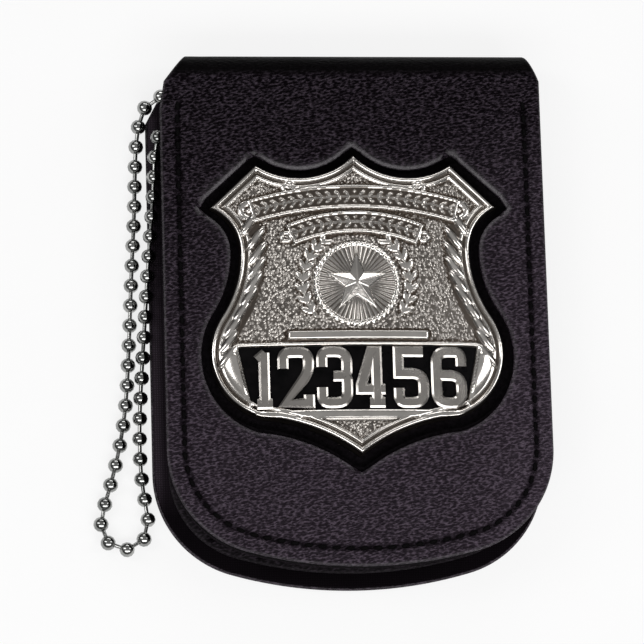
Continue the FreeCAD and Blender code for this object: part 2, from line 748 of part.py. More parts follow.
PARTS = {
    "rear_leather": rear_leather(),
    "rear_board": rear_board(),
    "rear_lining": rear_lining(),
    "pocket_welt": pocket_welt(),
    "id_window": id_window(),
    "id_window_frame": id_window_frame(),
    "hook_pad": hook_pad(),
    "chain_sleeve": chain_sleeve(),
    "chain_strands": chain_tube(strand_points()),
    "chain_hank": chain_tube(hank_points()),
    "chain_coupling": chain_coupling(),
    "fold_leather": fold_leather(),
    "front_leather": front_leather(),
    "recess_board": recess_board(),
    "badge_backing": badge_backing(),
    "pin_pad": pin_pad(),
    "front_lining": front_lining(),
    "loop_pad": loop_pad(),
    "badge_shield": badge_shield(),
    "number_plate": number_plate(),
    "numerals": numerals(),
    "emblem": emblem(),
    "pin_joint": pin_post(-1),
    "pin_catch": pin_post(1),
    "pin_stem": pin_stem(),
}

os.makedirs("parts", exist_ok=True)
for name, shape in PARTS.items():
    shape.translate(Vector(CENTRE_SHIFT, 0, 0))
    shape.exportStep("parts/" + name + ".step")
    box = shape.BoundBox
    print("%-16s solids %d  volume %8.1f  x %7.2f %7.2f  y %7.2f %7.2f  z %6.2f %6.2f" % (
        name, len(shape.Solids), shape.Volume,
        box.XMin, box.XMax, box.YMin, box.YMax, box.ZMin, box.ZMax))
for points in (strand_points(), hank_points()):
    path = route_wire(points)
    radii = sorted(round(e.Curve.Radius, 1) for e in path.Edges if e.Curve.TypeId == "Part::GeomCircle")
    print("chain length %.1f  least gap to itself %.2f  smallest bend radii %s" % (
        path.Length, least_gap(path), radii[:6]))
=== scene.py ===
# %% [markdown]
# # A neck badge wallet
# The object is a folded leather case that hangs from a ball chain. Its front half has a shield-shaped
# cut-out with a struck metal badge in it, its rear half holds a card behind a clear window, and the two
# halves open at the fold along the top. The solids of the frame give every piece its place, and this
# lesson gives each piece its true surface.

# %% Load the frame
import math

import bpy
import numpy as np
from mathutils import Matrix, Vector
from mathutils.geometry import delaunay_2d_cdt
from mathutils.kdtree import KDTree


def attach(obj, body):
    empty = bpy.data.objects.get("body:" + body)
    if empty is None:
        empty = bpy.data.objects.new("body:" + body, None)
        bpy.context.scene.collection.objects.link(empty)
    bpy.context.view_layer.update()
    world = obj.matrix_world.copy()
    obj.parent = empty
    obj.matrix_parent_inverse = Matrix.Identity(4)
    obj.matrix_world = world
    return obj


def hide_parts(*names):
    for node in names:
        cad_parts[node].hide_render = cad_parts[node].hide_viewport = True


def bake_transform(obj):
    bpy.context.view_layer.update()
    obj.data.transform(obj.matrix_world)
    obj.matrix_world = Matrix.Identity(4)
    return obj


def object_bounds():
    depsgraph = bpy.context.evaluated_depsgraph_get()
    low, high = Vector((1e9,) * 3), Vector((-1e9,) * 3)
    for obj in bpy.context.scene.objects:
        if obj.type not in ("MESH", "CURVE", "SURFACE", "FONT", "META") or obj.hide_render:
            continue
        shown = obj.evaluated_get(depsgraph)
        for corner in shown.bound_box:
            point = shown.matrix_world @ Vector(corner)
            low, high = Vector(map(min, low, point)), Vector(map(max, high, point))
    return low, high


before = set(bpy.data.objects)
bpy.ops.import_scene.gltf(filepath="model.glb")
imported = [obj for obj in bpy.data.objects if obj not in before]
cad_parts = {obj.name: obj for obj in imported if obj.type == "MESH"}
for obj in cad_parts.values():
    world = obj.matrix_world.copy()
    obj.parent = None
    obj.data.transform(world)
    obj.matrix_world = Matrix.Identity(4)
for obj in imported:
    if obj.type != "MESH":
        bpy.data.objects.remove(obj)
CAD_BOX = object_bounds()
MM = 0.001
CENTRE_X = 1.075
scene = bpy.context.scene
print("frame box", [tuple(round(v, 4) for v in corner) for corner in CAD_BOX])

# %% [markdown]
# ## Camera
# The photograph looks down on the case from the front left, turned a little, with a long lens. A camera
# is placed on a sphere round a point near the middle of the case, aimed at that point, and then rolled about
# its own axis, which is easier to adjust to a photograph than three angles in a row.

# %% Camera at the photograph's angle
CAMERA_DISTANCE = 1.0
CAMERA_AIM = Vector((1.075, -0.3, 0.0)) * MM
CAMERA_AZIMUTH = math.radians(-27.109)
CAMERA_ELEVATION = math.radians(75.261)
CAMERA_ROLL = math.radians(26.112)
SENSOR_WIDTH = 36.0
LENS_LENGTH = 266.6
FRAME_SHIFT = (-0.0429, 0.0083)

away = Vector((
    math.sin(CAMERA_AZIMUTH) * math.cos(CAMERA_ELEVATION),
    -math.cos(CAMERA_AZIMUTH) * math.cos(CAMERA_ELEVATION),
    math.sin(CAMERA_ELEVATION),
))
level_right = (-away).cross(Vector((0, 0, 1))).normalized()
level_up = level_right.cross(-away)
right = level_right * math.cos(CAMERA_ROLL) + level_up * math.sin(CAMERA_ROLL)
up = level_up * math.cos(CAMERA_ROLL) - level_right * math.sin(CAMERA_ROLL)
camera = bpy.data.objects.new("camera", bpy.data.cameras.new("camera"))
for row in range(3):
    for column, axis in enumerate((right, up, away, CAMERA_AIM + away * CAMERA_DISTANCE)):
        camera.matrix_world[row][column] = axis[row]
camera.data.sensor_width = SENSOR_WIDTH
camera.data.lens = LENS_LENGTH
camera.data.shift_x, camera.data.shift_y = FRAME_SHIFT
scene.collection.objects.link(camera)
scene.camera = camera
print("camera at", [round(v, 3) for v in away * CAMERA_DISTANCE])

# %% [markdown]
# ## Node helpers
# Every finish below is a small network of shader nodes. The helpers keep those networks short: one makes a
# node with its settings and sockets, one starts a material and hands back its main shader, and the last makes
# a whole finish from one fine noise, which is enough for most plain stuffs.

# %% Helpers for shader nodes
def put(tree, kind, sockets=(), **settings):
    """A node of this kind, with its settings, and with values or links on its sockets."""
    made = tree.nodes.new(kind)
    for key, value in settings.items():
        setattr(made, key, value)
    for key, value in dict(sockets).items():
        if isinstance(value, bpy.types.NodeSocket):
            tree.links.new(value, made.inputs[key])
        else:
            made.inputs[key].default_value = value
    return made


def start_finish(name, **sockets):
    """A new material, its node tree and its main shader, with the plain values set."""
    material = bpy.data.materials.new(name)
    material.use_nodes = True
    shader = material.node_tree.nodes["Principled BSDF"]
    for key, value in sockets.items():
        shader.inputs[key.replace("_", " ")].default_value = value
    return material, material.node_tree, shader


def ramp(tree, factor, *stops):
    """A colour ramp through the given (place, colour) stops."""
    made = put(tree, "ShaderNodeValToRGB", {"Fac": factor})
    band = made.color_ramp
    while len(band.elements) < len(stops):
        band.elements.new(0.5)
    for element, (place, colour) in zip(band.elements, stops):
        element.position = place
        element.color = (*colour, 1) if hasattr(colour, "__len__") else (colour, colour, colour, 1)
    return made.outputs["Color"]


def maths(tree, operation, *values):
    """A sum, product or other operation on numbers and sockets."""
    return put(tree, "ShaderNodeMath", enumerate(values), operation=operation).outputs[0]


def object_place(tree, stretch=(1, 1, 1), turn=0.0):
    """Object coordinates, turned about the upright axis and then stretched along the axes."""
    where = put(tree, "ShaderNodeTexCoord").outputs["Object"]
    if turn:
        where = put(tree, "ShaderNodeMapping", {"Vector": where, "Rotation": (0, 0, turn)}).outputs["Vector"]
    return put(tree, "ShaderNodeMapping", {"Vector": where, "Scale": stretch}).outputs["Vector"]


def noise(tree, where, scale, detail=3.0, rough=0.5):
    sockets = {"Vector": where, "Scale": scale, "Detail": detail, "Roughness": rough}
    return put(tree, "ShaderNodeTexNoise", sockets).outputs["Fac"]


def bump(tree, shader, height, distance, strength=1.0):
    """Fine relief: the height, in metres times distance, tilts the shader's normal."""
    sockets = {"Height": height, "Distance": distance, "Strength": strength}
    tree.links.new(put(tree, "ShaderNodeBump", sockets).outputs["Normal"], shader.inputs["Normal"])


def drawn(tree, name):
    """A value that was painted on the piece's points when it was made."""
    return put(tree, "ShaderNodeAttribute", attribute_name=name).outputs["Fac"]


def feed(shader, **sockets):
    """Links values to the main shader's sockets, with _ written for a space in their names."""
    for key, value in sockets.items():
        shader.id_data.links.new(value, shader.inputs[key.replace("_", " ")])


def mixed_colour(tree, share, first, second):
    """The first colour, a socket, turning into the second, three numbers, as the share grows."""
    mixed = put(tree, "ShaderNodeMix", {"Factor": share}, data_type="RGBA")
    tree.links.new(first, mixed.inputs["A"])
    mixed.inputs["B"].default_value = (*second, 1)
    return mixed.outputs["Result"]


def mottled(name, grain, tones, shine, relief, stretch=(1, 1, 1), other=(), **sockets):
    """A finish whose tone, shine and relief follow a fine noise; other gives one of them its own noise."""
    finish, tree, shader = start_finish(name, **sockets)
    main = noise(tree, object_place(tree, stretch), *grain)
    own = {part: noise(tree, object_place(tree), *given) for part, given in dict(other).items()}
    feed(
        shader, Base_Color=ramp(tree, own.get("tones", main), *tones),
        Roughness=ramp(tree, own.get("shine", main), *shine),
    )
    depth, strength = relief
    bump(tree, shader, own.get("relief", main), depth * MM, strength)
    print("finish", name)
    return finish


# %% [markdown]
# ## Standing in for the solids
# The frame's solids are plain. A finished piece takes the place of one or more of them, and has to be told
# which, and with which half of the case it moves.

# %% Helper for finished pieces
def dress(piece, slot, body, *nodes):
    """Puts a piece in the place of the named solids and on a body; slot is not used."""
    if nodes:
        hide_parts(*nodes)
    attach(piece, body)
    return piece


# %% [markdown]
# ## Floor and studio light
# The case lies on a pale floor in plain soft light. The floor is a wide sheet that shows white to the camera
# while it still takes a faint shadow. The light is a room that is gray above and dark near the floor, with a
# wide light box in front and smaller ones round the sides: polished metal then mirrors light and dark in
# turn, which is what makes it look like metal.

# %% Floor
FLOOR_REACH = 3.0
FLOOR_GAP = 0.05 * MM
FLOOR_GRAIN = 60.0
FLOOR_TONES = ((0.3, 0.86), (0.7, 0.88))
FLOOR_ROUGH = 0.8
FLOOR_GLOW_SHARE = 0.8

floor_finish, tree, shader = start_finish("pale_floor", Roughness=FLOOR_ROUGH)
feed(shader, Base_Color=ramp(tree, noise(tree, object_place(tree), FLOOR_GRAIN), *FLOOR_TONES))
glow = put(tree, "ShaderNodeEmission", {"Color": (1, 1, 1, 1), "Strength": 1.0})
ray = put(tree, "ShaderNodeLightPath").outputs
seen = maths(tree, "ADD", ray["Is Camera Ray"], ray["Is Glossy Ray"])
seen = maths(tree, "ADD", seen, ray["Is Transmission Ray"])
share = maths(tree, "MULTIPLY", maths(tree, "MINIMUM", seen, 1.0), FLOOR_GLOW_SHARE)
blended = put(tree, "ShaderNodeMixShader", {0: share, 1: shader.outputs[0], 2: glow.outputs[0]})
tree.links.new(blended.outputs[0], tree.nodes["Material Output"].inputs["Surface"])

floor_mesh = bpy.data.meshes.new("floor")
floor_level = CAD_BOX[0][2] - FLOOR_GAP
corners = [(x * FLOOR_REACH, y * FLOOR_REACH, floor_level) for x, y in ((-1, -1), (1, -1), (1, 1), (-1, 1))]
floor_mesh.from_pydata(corners, [], [(0, 1, 2, 3)])
floor_mesh.materials.append(floor_finish)
floor = bpy.data.objects.new("floor", floor_mesh)
scene.collection.objects.link(floor)
print("floor at", round(floor_level, 5))

# %% Studio light
ROOM_TONES = ((0.1, 0.05), (0.95, 0.34))
LAMPS = {
    "front_box": ((0.00, -0.54, 0.60), (1.10, 0.28), 4.6),
    "left_box": ((-0.62, 0.15, 0.62), (0.20, 0.55), 1.5),
    "right_box": ((0.66, 0.12, 0.55), (0.20, 0.55), 1.5),
    "back_box": ((0.08, 0.72, 0.42), (0.70, 0.16), 1.4),
}

world = bpy.data.worlds.new("studio")
world.use_nodes = True
tree = world.node_tree
aim = put(tree, "ShaderNodeTexCoord").outputs["Generated"]
rise = put(tree, "ShaderNodeSeparateXYZ", {0: aim}).outputs["Z"]
tree.links.new(ramp(tree, rise, *ROOM_TONES), tree.nodes["Background"].inputs["Color"])
scene.world = world
scene.view_settings.view_transform = "Standard"
for name, (place, (across, along), power) in LAMPS.items():
    lamp = bpy.data.lights.new(name, "AREA")
    lamp.shape = "RECTANGLE"
    lamp.size, lamp.size_y = across, along
    lamp.energy = power
    stand = bpy.data.objects.new(name, lamp)
    stand.location = place
    stand.rotation_euler = Vector(place).to_track_quat("Z", "Y").to_euler()
    scene.collection.objects.link(stand)
print("lamps", len(LAMPS))

# %% [markdown]
# ## Repeats along a path
# Beads and stitches are one small shape set down again and again along a line. A Geometry Nodes tree does
# that: it takes a polyline, divides it into equal steps, sets a stretched ball on each step, turned along
# the line, and can add a thin wire through them all. The result is turned into a plain mesh.

# %% Tree that sets a shape along a line
WIRE_SIDES = 6


def repeat_tree(name, material, segments, rings, wired):
    """A tree that sets a ball of so many segments and rings along a line, and its inputs by name."""
    tree = bpy.data.node_groups.new(name, "GeometryNodeTree")
    face = tree.interface
    face.new_socket("Geometry", in_out="INPUT", socket_type="NodeSocketGeometry")
    named = {}
    for size in ("Pitch", "Length", "Width", "Height", "Slant", "Wire"):
        named[size] = face.new_socket(size, in_out="INPUT", socket_type="NodeSocketFloat").identifier
    face.new_socket("Geometry", in_out="OUTPUT", socket_type="NodeSocketGeometry")
    given = put(tree, "NodeGroupInput").outputs
    line = put(tree, "GeometryNodeMeshToCurve", {"Mesh": given["Geometry"]}).outputs[0]
    sockets = {"Curve": line, "Length": given["Pitch"]}
    steps = put(tree, "GeometryNodeResampleCurve", sockets, mode="LENGTH").outputs[0]
    ball = put(tree, "GeometryNodeMeshUVSphere", {"Segments": segments, "Rings": rings, "Radius": 0.5})
    sizes = {"X": given["Length"], "Y": given["Width"], "Z": given["Height"]}
    size = put(tree, "ShaderNodeCombineXYZ", sizes).outputs[0]
    lean = put(tree, "ShaderNodeCombineXYZ", {"Z": given["Slant"]}).outputs[0]
    sockets = {"Geometry": ball.outputs[0], "Rotation": lean, "Scale": size}
    shape = put(tree, "GeometryNodeTransform", sockets).outputs[0]
    tangent = put(tree, "GeometryNodeInputTangent").outputs[0]
    turn = put(tree, "FunctionNodeAlignRotationToVector", {"Vector": tangent}, axis="X").outputs[0]
    sockets = {"Points": steps, "Instance": shape, "Rotation": turn}
    result = put(tree, "GeometryNodeInstanceOnPoints", sockets).outputs[0]
    if wired:
        sockets = {"Resolution": WIRE_SIDES, "Radius": given["Wire"]}
        section = put(tree, "GeometryNodeCurvePrimitiveCircle", sockets).outputs[0]
        sockets = {"Curve": steps, "Profile Curve": section}
        wire = put(tree, "GeometryNodeCurveToMesh", sockets).outputs[0]
        joined = put(tree, "GeometryNodeJoinGeometry")
        tree.links.new(result, joined.inputs[0])
        tree.links.new(wire, joined.inputs[0])
        result = joined.outputs[0]
    result = put(tree, "GeometryNodeRealizeInstances", {"Geometry": result}).outputs[0]
    result = put(tree, "GeometryNodeSetShadeSmooth", {"Geometry": result}).outputs[0]
    sockets = {"Geometry": result, "Material": material}
    result = put(tree, "GeometryNodeSetMaterial", sockets).outputs[0]
    put(tree, "NodeGroupOutput", {"Geometry": result})
    return tree, named


def set_along(name, points, tree, named, **sizes):
    """A plain mesh of the tree's shape along the points, which are in metres."""
    line = bpy.data.meshes.new(name)
    line.from_pydata([tuple(p) for p in points], [(k, k + 1) for k in range(len(points) - 1)], [])
    piece = bpy.data.objects.new(name, line)
    scene.collection.objects.link(piece)
    modifier = piece.modifiers.new("repeat", "NODES")
    modifier.node_group = tree
    for size, value in sizes.items():
        modifier[named[size]] = value
    graph = bpy.context.evaluated_depsgraph_get()
    plain = bpy.data.meshes.new_from_object(piece.evaluated_get(graph), depsgraph=graph)
    piece.modifiers.clear()
    piece.data = plain
    print(name, "faces", len(plain.polygons))
    return piece


# %% [markdown]
# ## The ball chain
# The case hangs from a ball chain: hollow steel balls of 3.2 mm on short wire links. Two strands come out
# beside the fold and lie along the left edge in a narrow loop, and the rest is put away between the halves,
# folded over the card window. One smooth spline carries the whole loop, and beads are set along it.

# %% Steel of the chain
chain_finish = mottled(
    "chain_steel", grain=(900.0, 4.0), tones=((0.3, (0.22, 0.225, 0.22)), (0.7, (0.40, 0.40, 0.39))),
    shine=((0.35, 0.08), (0.75, 0.22)), relief=(0.02, 0.5), other={"tones": (240.0,)}, Metallic=1.0,
)

# %% [markdown]
# ## Route of the chain
# The points of the route were chosen along the photographed strands, and guessed for the part that is
# put away. A smooth spline rounds them off, and its length tells how many beads fit.

# %% Route of the chain
BEAD_SIZE = 3.2
BEAD_PITCH = 4.27
LINK_RADIUS = 0.45
MOUTH = (-26.5, 46.225, 5.1)
STRANDS = (
    (-31.19, 46.23, 5.10), (-35.99, 47.80, 5.01), (-39.61, 48.80, 4.70), (-42.49, 46.80, 3.60),
    (-43.99, 41.98, 2.21), (-44.51, 35.02, 1.60), (-44.85, 23.68, 1.60), (-45.75, 10.69, 1.60),
    (-46.50, -4.30, 1.60), (-47.55, -19.78, 1.60), (-50.30, -32.32, 1.60), (-53.59, -42.20, 1.60),
    (-51.99, -46.31, 1.60), (-48.22, -47.97, 1.60), (-44.41, -46.31, 1.60), (-42.91, -42.20, 1.60),
    (-44.60, -33.82, 1.60), (-44.79, -22.28, 1.60), (-44.00, -10.29, 1.80), (-43.20, 0.70, 3.65),
    (-42.70, 8.69, 4.35), (-41.90, 17.68, 4.55), (-40.99, 27.73, 4.56), (-40.60, 36.13, 4.90),
    (-39.61, 41.01, 5.95), (-36.79, 43.52, 5.90), (-32.51, 42.91, 5.90), (-28.76, 40.81, 5.90),
)
SLEEVE_POINTS = ((28.5, 46.225, 5.9), (16.74, 46.345, 5.1), (2.02, 46.425, 5.1), (-12.7, 46.225, 5.1))
RUN_XS = (35.0, 16.0, -3.0, -22.0)
RUN_TOP = 39.725
RUN_FOOT = -31.0
RUN_SHARES = (0.3, 0.68)
RUN_DRIFT = 0.8
HANK_LEVEL = 5.9
HANK_END = (-21.78, 36.90, 5.9)
ROUTE_STEPS = 10
ROUTE_ORDER = 3


def run_route(place):
    """Points of one run of the folded chain; runs go down and up by turns."""
    x = RUN_XS[place]
    start, end = (RUN_TOP, RUN_FOOT) if place % 2 == 0 else (RUN_FOOT, RUN_TOP)
    points = [(x, start, HANK_LEVEL)]
    points += [(x + RUN_DRIFT, start + (end - start) * share, HANK_LEVEL) for share in RUN_SHARES]
    return points + [(x, end, HANK_LEVEL)]


hank = []
for place in range(len(RUN_XS)):
    hank += run_route(place)
hank[-1] = HANK_END
route = [MOUTH, *STRANDS, *reversed(hank), *SLEEVE_POINTS, MOUTH]
curve = bpy.data.curves.new("chain_route", "CURVE")
curve.dimensions = "3D"
curve.resolution_u = ROUTE_STEPS
spline = curve.splines.new("NURBS")
spline.points.add(len(route) - 1)
for point, (x, y, z) in zip(spline.points, route):
    point.co = ((x + CENTRE_X) * MM, y * MM, z * MM, 1)
spline.order_u = ROUTE_ORDER
spline.use_endpoint_u = True
route_object = bpy.data.objects.new("chain_route", curve)
scene.collection.objects.link(route_object)
route_mesh = bpy.data.meshes.new_from_object(route_object)
chain_path = [v.co.copy() for v in route_mesh.vertices]
bpy.data.objects.remove(route_object)
chain_length = sum((b - a).length for a, b in zip(chain_path, chain_path[1:]))
print("chain length", round(chain_length, 4), "m,", round(chain_length / MM / BEAD_PITCH), "beads")

# %% Beads and links
BEAD_GRID = (12, 8)

bead_tree, bead_named = repeat_tree("ball_chain", chain_finish, *BEAD_GRID, wired=True)
bead_step = chain_length / round(chain_length / (BEAD_PITCH * MM))
bead = BEAD_SIZE * MM
chain = set_along(
    "ball_chain", chain_path, bead_tree, bead_named,
    Pitch=bead_step, Length=bead, Width=bead, Height=bead, Slant=0.0, Wire=LINK_RADIUS * MM,
)
dress(chain, "chain_steel", "rear_half", "chain_strands", "chain_hank")

# %% [markdown]
# ## Drafting patterns
# Sheet pieces are drafted flat, as a maker draws a pattern: an outline of lines and arcs in millimetres.
# The helpers below draw such outlines, fill them with points, join the points into triangles, and raise the
# result into a closed sheet with a face, an underside and edges. The same sheet maker serves leather, cloth,
# film and the struck badge, and only the height of the face differs.

# %% Lines and arcs
SHARP_LIMIT = 0.5


def toward(aim):
    """The flat direction at an angle."""
    return np.array((math.cos(aim), math.sin(aim)))


def line_to(start, end, step):
    """Points from start up to, but not at, the end."""
    start, end = np.array(start, float), np.array(end, float)
    count = max(1, round(np.linalg.norm(end - start) / step))
    return [start + (end - start) * k / count for k in range(count)]


def closed_lines(corners, step):
    """Points along the straight lines that join the corners in a ring."""
    points = []
    for start, end in zip(corners, corners[1:] + corners[:1]):
        points += line_to(start, end, step)
    return np.array(points)


def arc_to(start, middle, end, step):
    """Points on the circle from start through middle, up to but not at the end."""
    (ax, ay), (bx, by), (cx, cy) = start, middle, end
    a, b, c = ax * ax + ay * ay, bx * bx + by * by, cx * cx + cy * cy
    double = 2 * (ax * (by - cy) + bx * (cy - ay) + cx * (ay - by))
    centre = np.array((
        (a * (by - cy) + b * (cy - ay) + c * (ay - by)) / double,
        (a * (cx - bx) + b * (ax - cx) + c * (bx - ax)) / double,
    ))
    angles = [math.atan2(y - centre[1], x - centre[0]) for x, y in (start, middle, end)]
    turn = (angles[2] - angles[0]) % math.tau
    if (angles[1] - angles[0]) % math.tau > turn:
        turn -= math.tau
    radius = math.hypot(ax - centre[0], ay - centre[1])
    count = max(2, round(abs(turn) * radius / step))
    aims = [angles[0] + turn * k / count for k in range(count)]
    return [centre + radius * toward(aim) for aim in aims]


def mirrored(half):
    """Half an outline from the top centre down the right side, made a whole counter-clockwise loop."""
    half = np.array(half)
    left = half * (-1, 1)
    return np.vstack((left[:-1], half[:0:-1]))


def moved(loop, out, blunt=2.0):
    """A closed loop moved out, or in where out is negative; blunt limits how far a mitre reaches."""
    ahead = np.roll(loop, -1, axis=0) - loop
    ahead /= np.linalg.norm(ahead, axis=1)[:, None]
    normal = np.stack((ahead[:, 1], -ahead[:, 0]), axis=1)
    before = np.roll(normal, 1, axis=0)
    share = np.maximum(1 + np.sum(normal * before, axis=1), SHARP_LIMIT)
    mitre = (normal + before) / share[:, None]
    reach = np.linalg.norm(mitre, axis=1)
    return loop + out * mitre * np.minimum(1, blunt / reach)[:, None]


# %% [markdown]
# ## Points and triangles
# A pattern needs to know what lies inside it and how far a point is from its edge. Then it is filled with
# staggered rows of points, and these are joined into triangles that keep to the outline.

# %% Inside, distance and triangles
ROW_KEEP_SHARE = 0.95
LONELY_SHARE = 0.8
MERGE_GAP = 1e-5


def nearest(points, loop, closed=True):
    """Distance from each point to a loop or a path."""
    ends = np.roll(loop, -1, axis=0) if closed else loop[1:]
    best = np.full(len(points), np.inf)
    for a, b in zip(loop, ends):
        along = b - a
        share = np.clip((points - a) @ along / (along @ along), 0, 1)
        gap = points - a - share[:, None] * along
        best = np.minimum(best, np.sum(gap * gap, axis=1))
    return np.sqrt(best)


def within(points, loop):
    """True for the points inside a loop."""
    odd = np.zeros(len(points), bool)
    for (ax, ay), (bx, by) in zip(loop, np.roll(loop, -1, axis=0)):
        if ay != by:
            crosses = (ay > points[:, 1]) != (by > points[:, 1])
            odd ^= crosses & (points[:, 0] < ax + (points[:, 1] - ay) * (bx - ax) / (by - ay))
    return odd


def in_sheet(points, outline, holes):
    """True for the points inside the outline and outside the holes."""
    keep = within(points, outline)
    for hole in holes:
        keep &= ~within(points, hole)
    return keep


def filled(outline, holes, spacing, clear, rows=()):
    """Staggered rows of points inside the outline, clear of the edges, and extra rows near the edges."""
    low, high = outline.min(axis=0), outline.max(axis=0)
    points = []
    for row, y in enumerate(np.arange(low[1], high[1], spacing * math.sqrt(0.75))):
        xs = np.arange(low[0] + spacing * (row % 2) / 2, high[0], spacing)
        points.append(np.stack((xs, np.full(len(xs), y)), axis=1))
    points = np.vstack(points)
    points = points[in_sheet(points, outline, holes)]
    gap = np.min([nearest(points, loop) for loop in (outline, *holes)], axis=0)
    parts, close = [points[gap > clear]], points[gap <= clear]
    for inset in rows:
        for loop, out in [(outline, -inset)] + [(hole, inset) for hole in holes]:
            row = moved(loop, out)
            row = row[in_sheet(row, outline, holes)]
            gap = np.min([nearest(row, other) for other in (outline, *holes)], axis=0)
            parts.append(row[gap > inset * ROW_KEEP_SHARE])
    if rows:
        placed = np.vstack([outline, *holes] + parts)
        finder = KDTree(len(placed))
        for place, point in enumerate(placed):
            finder.insert((*point, 0), place)
        finder.balance()
        lonely = [finder.find((*point, 0))[2] > spacing * LONELY_SHARE for point in close]
        parts.append(close[np.array(lonely, bool)])
    return np.vstack(parts)


def triangles_of(outline, holes, extra):
    """Points and triangles of a sheet; the outline and holes come first among the points."""
    loops = [outline] + [hole[::-1] for hole in holes]
    points = np.vstack(loops + [extra])
    edges, start = [], 0
    for loop in loops:
        count = len(loop)
        edges += [(start + k, start + (k + 1) % count) for k in range(count)]
        start += count
    found = delaunay_2d_cdt([Vector(p) for p in points], edges, [], 0, MERGE_GAP)
    first = [origin[0] for origin in found[3]]
    triangles = np.array([[first[k] for k in face] for face in found[2]])
    middles = points[triangles].mean(axis=1)
    return points, triangles[in_sheet(middles, outline, holes)], loops


# %% [markdown]
# ## The sheet maker
# A filled pattern becomes a closed sheet: its points are set at the height of the face and again at that of
# the underside, and a strip of faces joins both along every edge.

# %% The sheet maker
def finished_mesh(name, points, faces, finish, marks=()):
    """A smooth mesh piece from points in millimetres, with values painted on its points."""
    mesh = bpy.data.meshes.new(name)
    placed = (np.asarray(points) + (CENTRE_X, 0, 0)) * MM
    mesh.from_pydata(placed.tolist(), [], [list(map(int, f)) for f in faces])
    mesh.polygons.foreach_set("use_smooth", np.ones(len(mesh.polygons), bool))
    mesh.materials.append(finish)
    for mark, values in dict(marks).items():
        painted = mesh.attributes.new(mark, "FLOAT", "POINT")
        painted.data.foreach_set("value", np.asarray(values, np.float32))
    mesh.update()
    piece = bpy.data.objects.new(name, mesh)
    scene.collection.objects.link(piece)
    print(name, "triangles", sum(len(f) - 2 for f in faces))
    return piece


def sheet_piece(name, outline, holes, extra, place, face_height, under_height, finish, marks=None):
    """A closed sheet: place puts a flat point at a height, marks gives values to paint on the face."""
    points, triangles, loops = triangles_of(outline, holes, extra)
    count = len(points)
    solid = np.vstack((place(points, face_height(points)), place(points, under_height(points))))
    faces = triangles.tolist() + (triangles[:, ::-1] + count).tolist()
    start = 0
    for loop in loops:
        for k in range(len(loop)):
            a, b = start + k, start + (k + 1) % len(loop)
            faces.append((a + count, b + count, b, a))
        start += len(loop)
    painted = {}
    if marks:
        painted = {mark: np.tile(values, 2) for mark, values in marks(points).items()}
    return finished_mesh(name, solid, faces, finish, painted)


def once(rule):
    """Keeps a rule's last answer, because a face and its marks ask about the same points."""
    kept = {}

    def asked(points):
        if kept.get("points") is not points:
            kept["points"], kept["answer"] = points, rule(points)
        return kept["answer"]

    return asked


def rounding(gap, radius):
    """How far a rounded edge falls at a distance from the edge."""
    inner = np.clip(radius - gap, 0, radius)
    return radius - np.sqrt(np.maximum(radius ** 2 - inner ** 2, 0))


def ease(low, high, value):
    """A smooth step from 0 at low to 1 at high."""
    share = np.clip((value - low) / (high - low), 0, 1)
    return share * share * (3 - 2 * share)


def flat_place(points, height):
    """Flat points at their heights."""
    return np.column_stack((points, height))


# %% [markdown]
# ## Black pebbled leather
# The case is black leather with a fine pressed grain: short wavy ridges, longer across than along, over
# nearly black hollows. A fine noise stretched along one way has such ridges, and tilts the surface strongly;
# the light on the ridges and the shade in the hollows are also painted into the colour. Where the leather
# turns over the fold it is pulled smooth, and painted shade makes it dark. Painted shade also darkens the
# groove where the thread sinks. Along cut edges the paler fibres show, and a painted highlight adds to them,
# most on the upper edges of the cut-out. A painted sheen makes the grain paler towards the foot and on the
# right side. All four are painted on the points as values that the finish reads.

# %% Leather finish
GRAIN_SIZE = 0.52
GRAIN_STRETCH = (0.60, 1.25, 1.0)
GRAIN_TURN = math.radians(-10)
GRAIN_DETAIL = 1.0
# These stops paint light on the grain's ridges and shade in its hollows into the colour.
GRAIN_TONES = ((0.40, 0.0), (0.52, 0.26), (0.67, 1.0))
LEATHER_DARK = (0.0008, 0.0005, 0.0007)
LEATHER_RIDGE = (0.0750, 0.0570, 0.0770)
# Pale edge colour: worn fibres, and a painted highlight on the upper cut-out edges and the outer arris.
LEATHER_WORN_AND_LIT = (0.150, 0.142, 0.150)
# A painted sheen lightens the ridges and the hollows by these shares.
RIDGE_LIGHT = {"rubbed": 0.34, "fresh": 0.50}
HOLLOW_LIGHT = {"rubbed": 0.17, "fresh": 0.03}
# The fold and the inside leather are smoothed, and painted shade darkens their colour.
SMOOTH_AND_SHADE_LOSS = {"relief": 0.85, "light": 0.97}
# Painted shade in the seam groove.
GROOVE_SHADE_LOSS = 0.7
BLOTCH = (70.0, 4.0)
BLOTCH_WEAR = ((0.3, 0.5), (0.65, 1.0))
SHINE_SPREAD = ((0.3, -0.06), (0.7, 0.08))
GLEAM = {"ridge": 0.09, "pulled": 0.015}


def less(tree, value, loss):
    """One, less a share of a value."""
    return maths(tree, "MULTIPLY_ADD", value, -loss, 1.0)


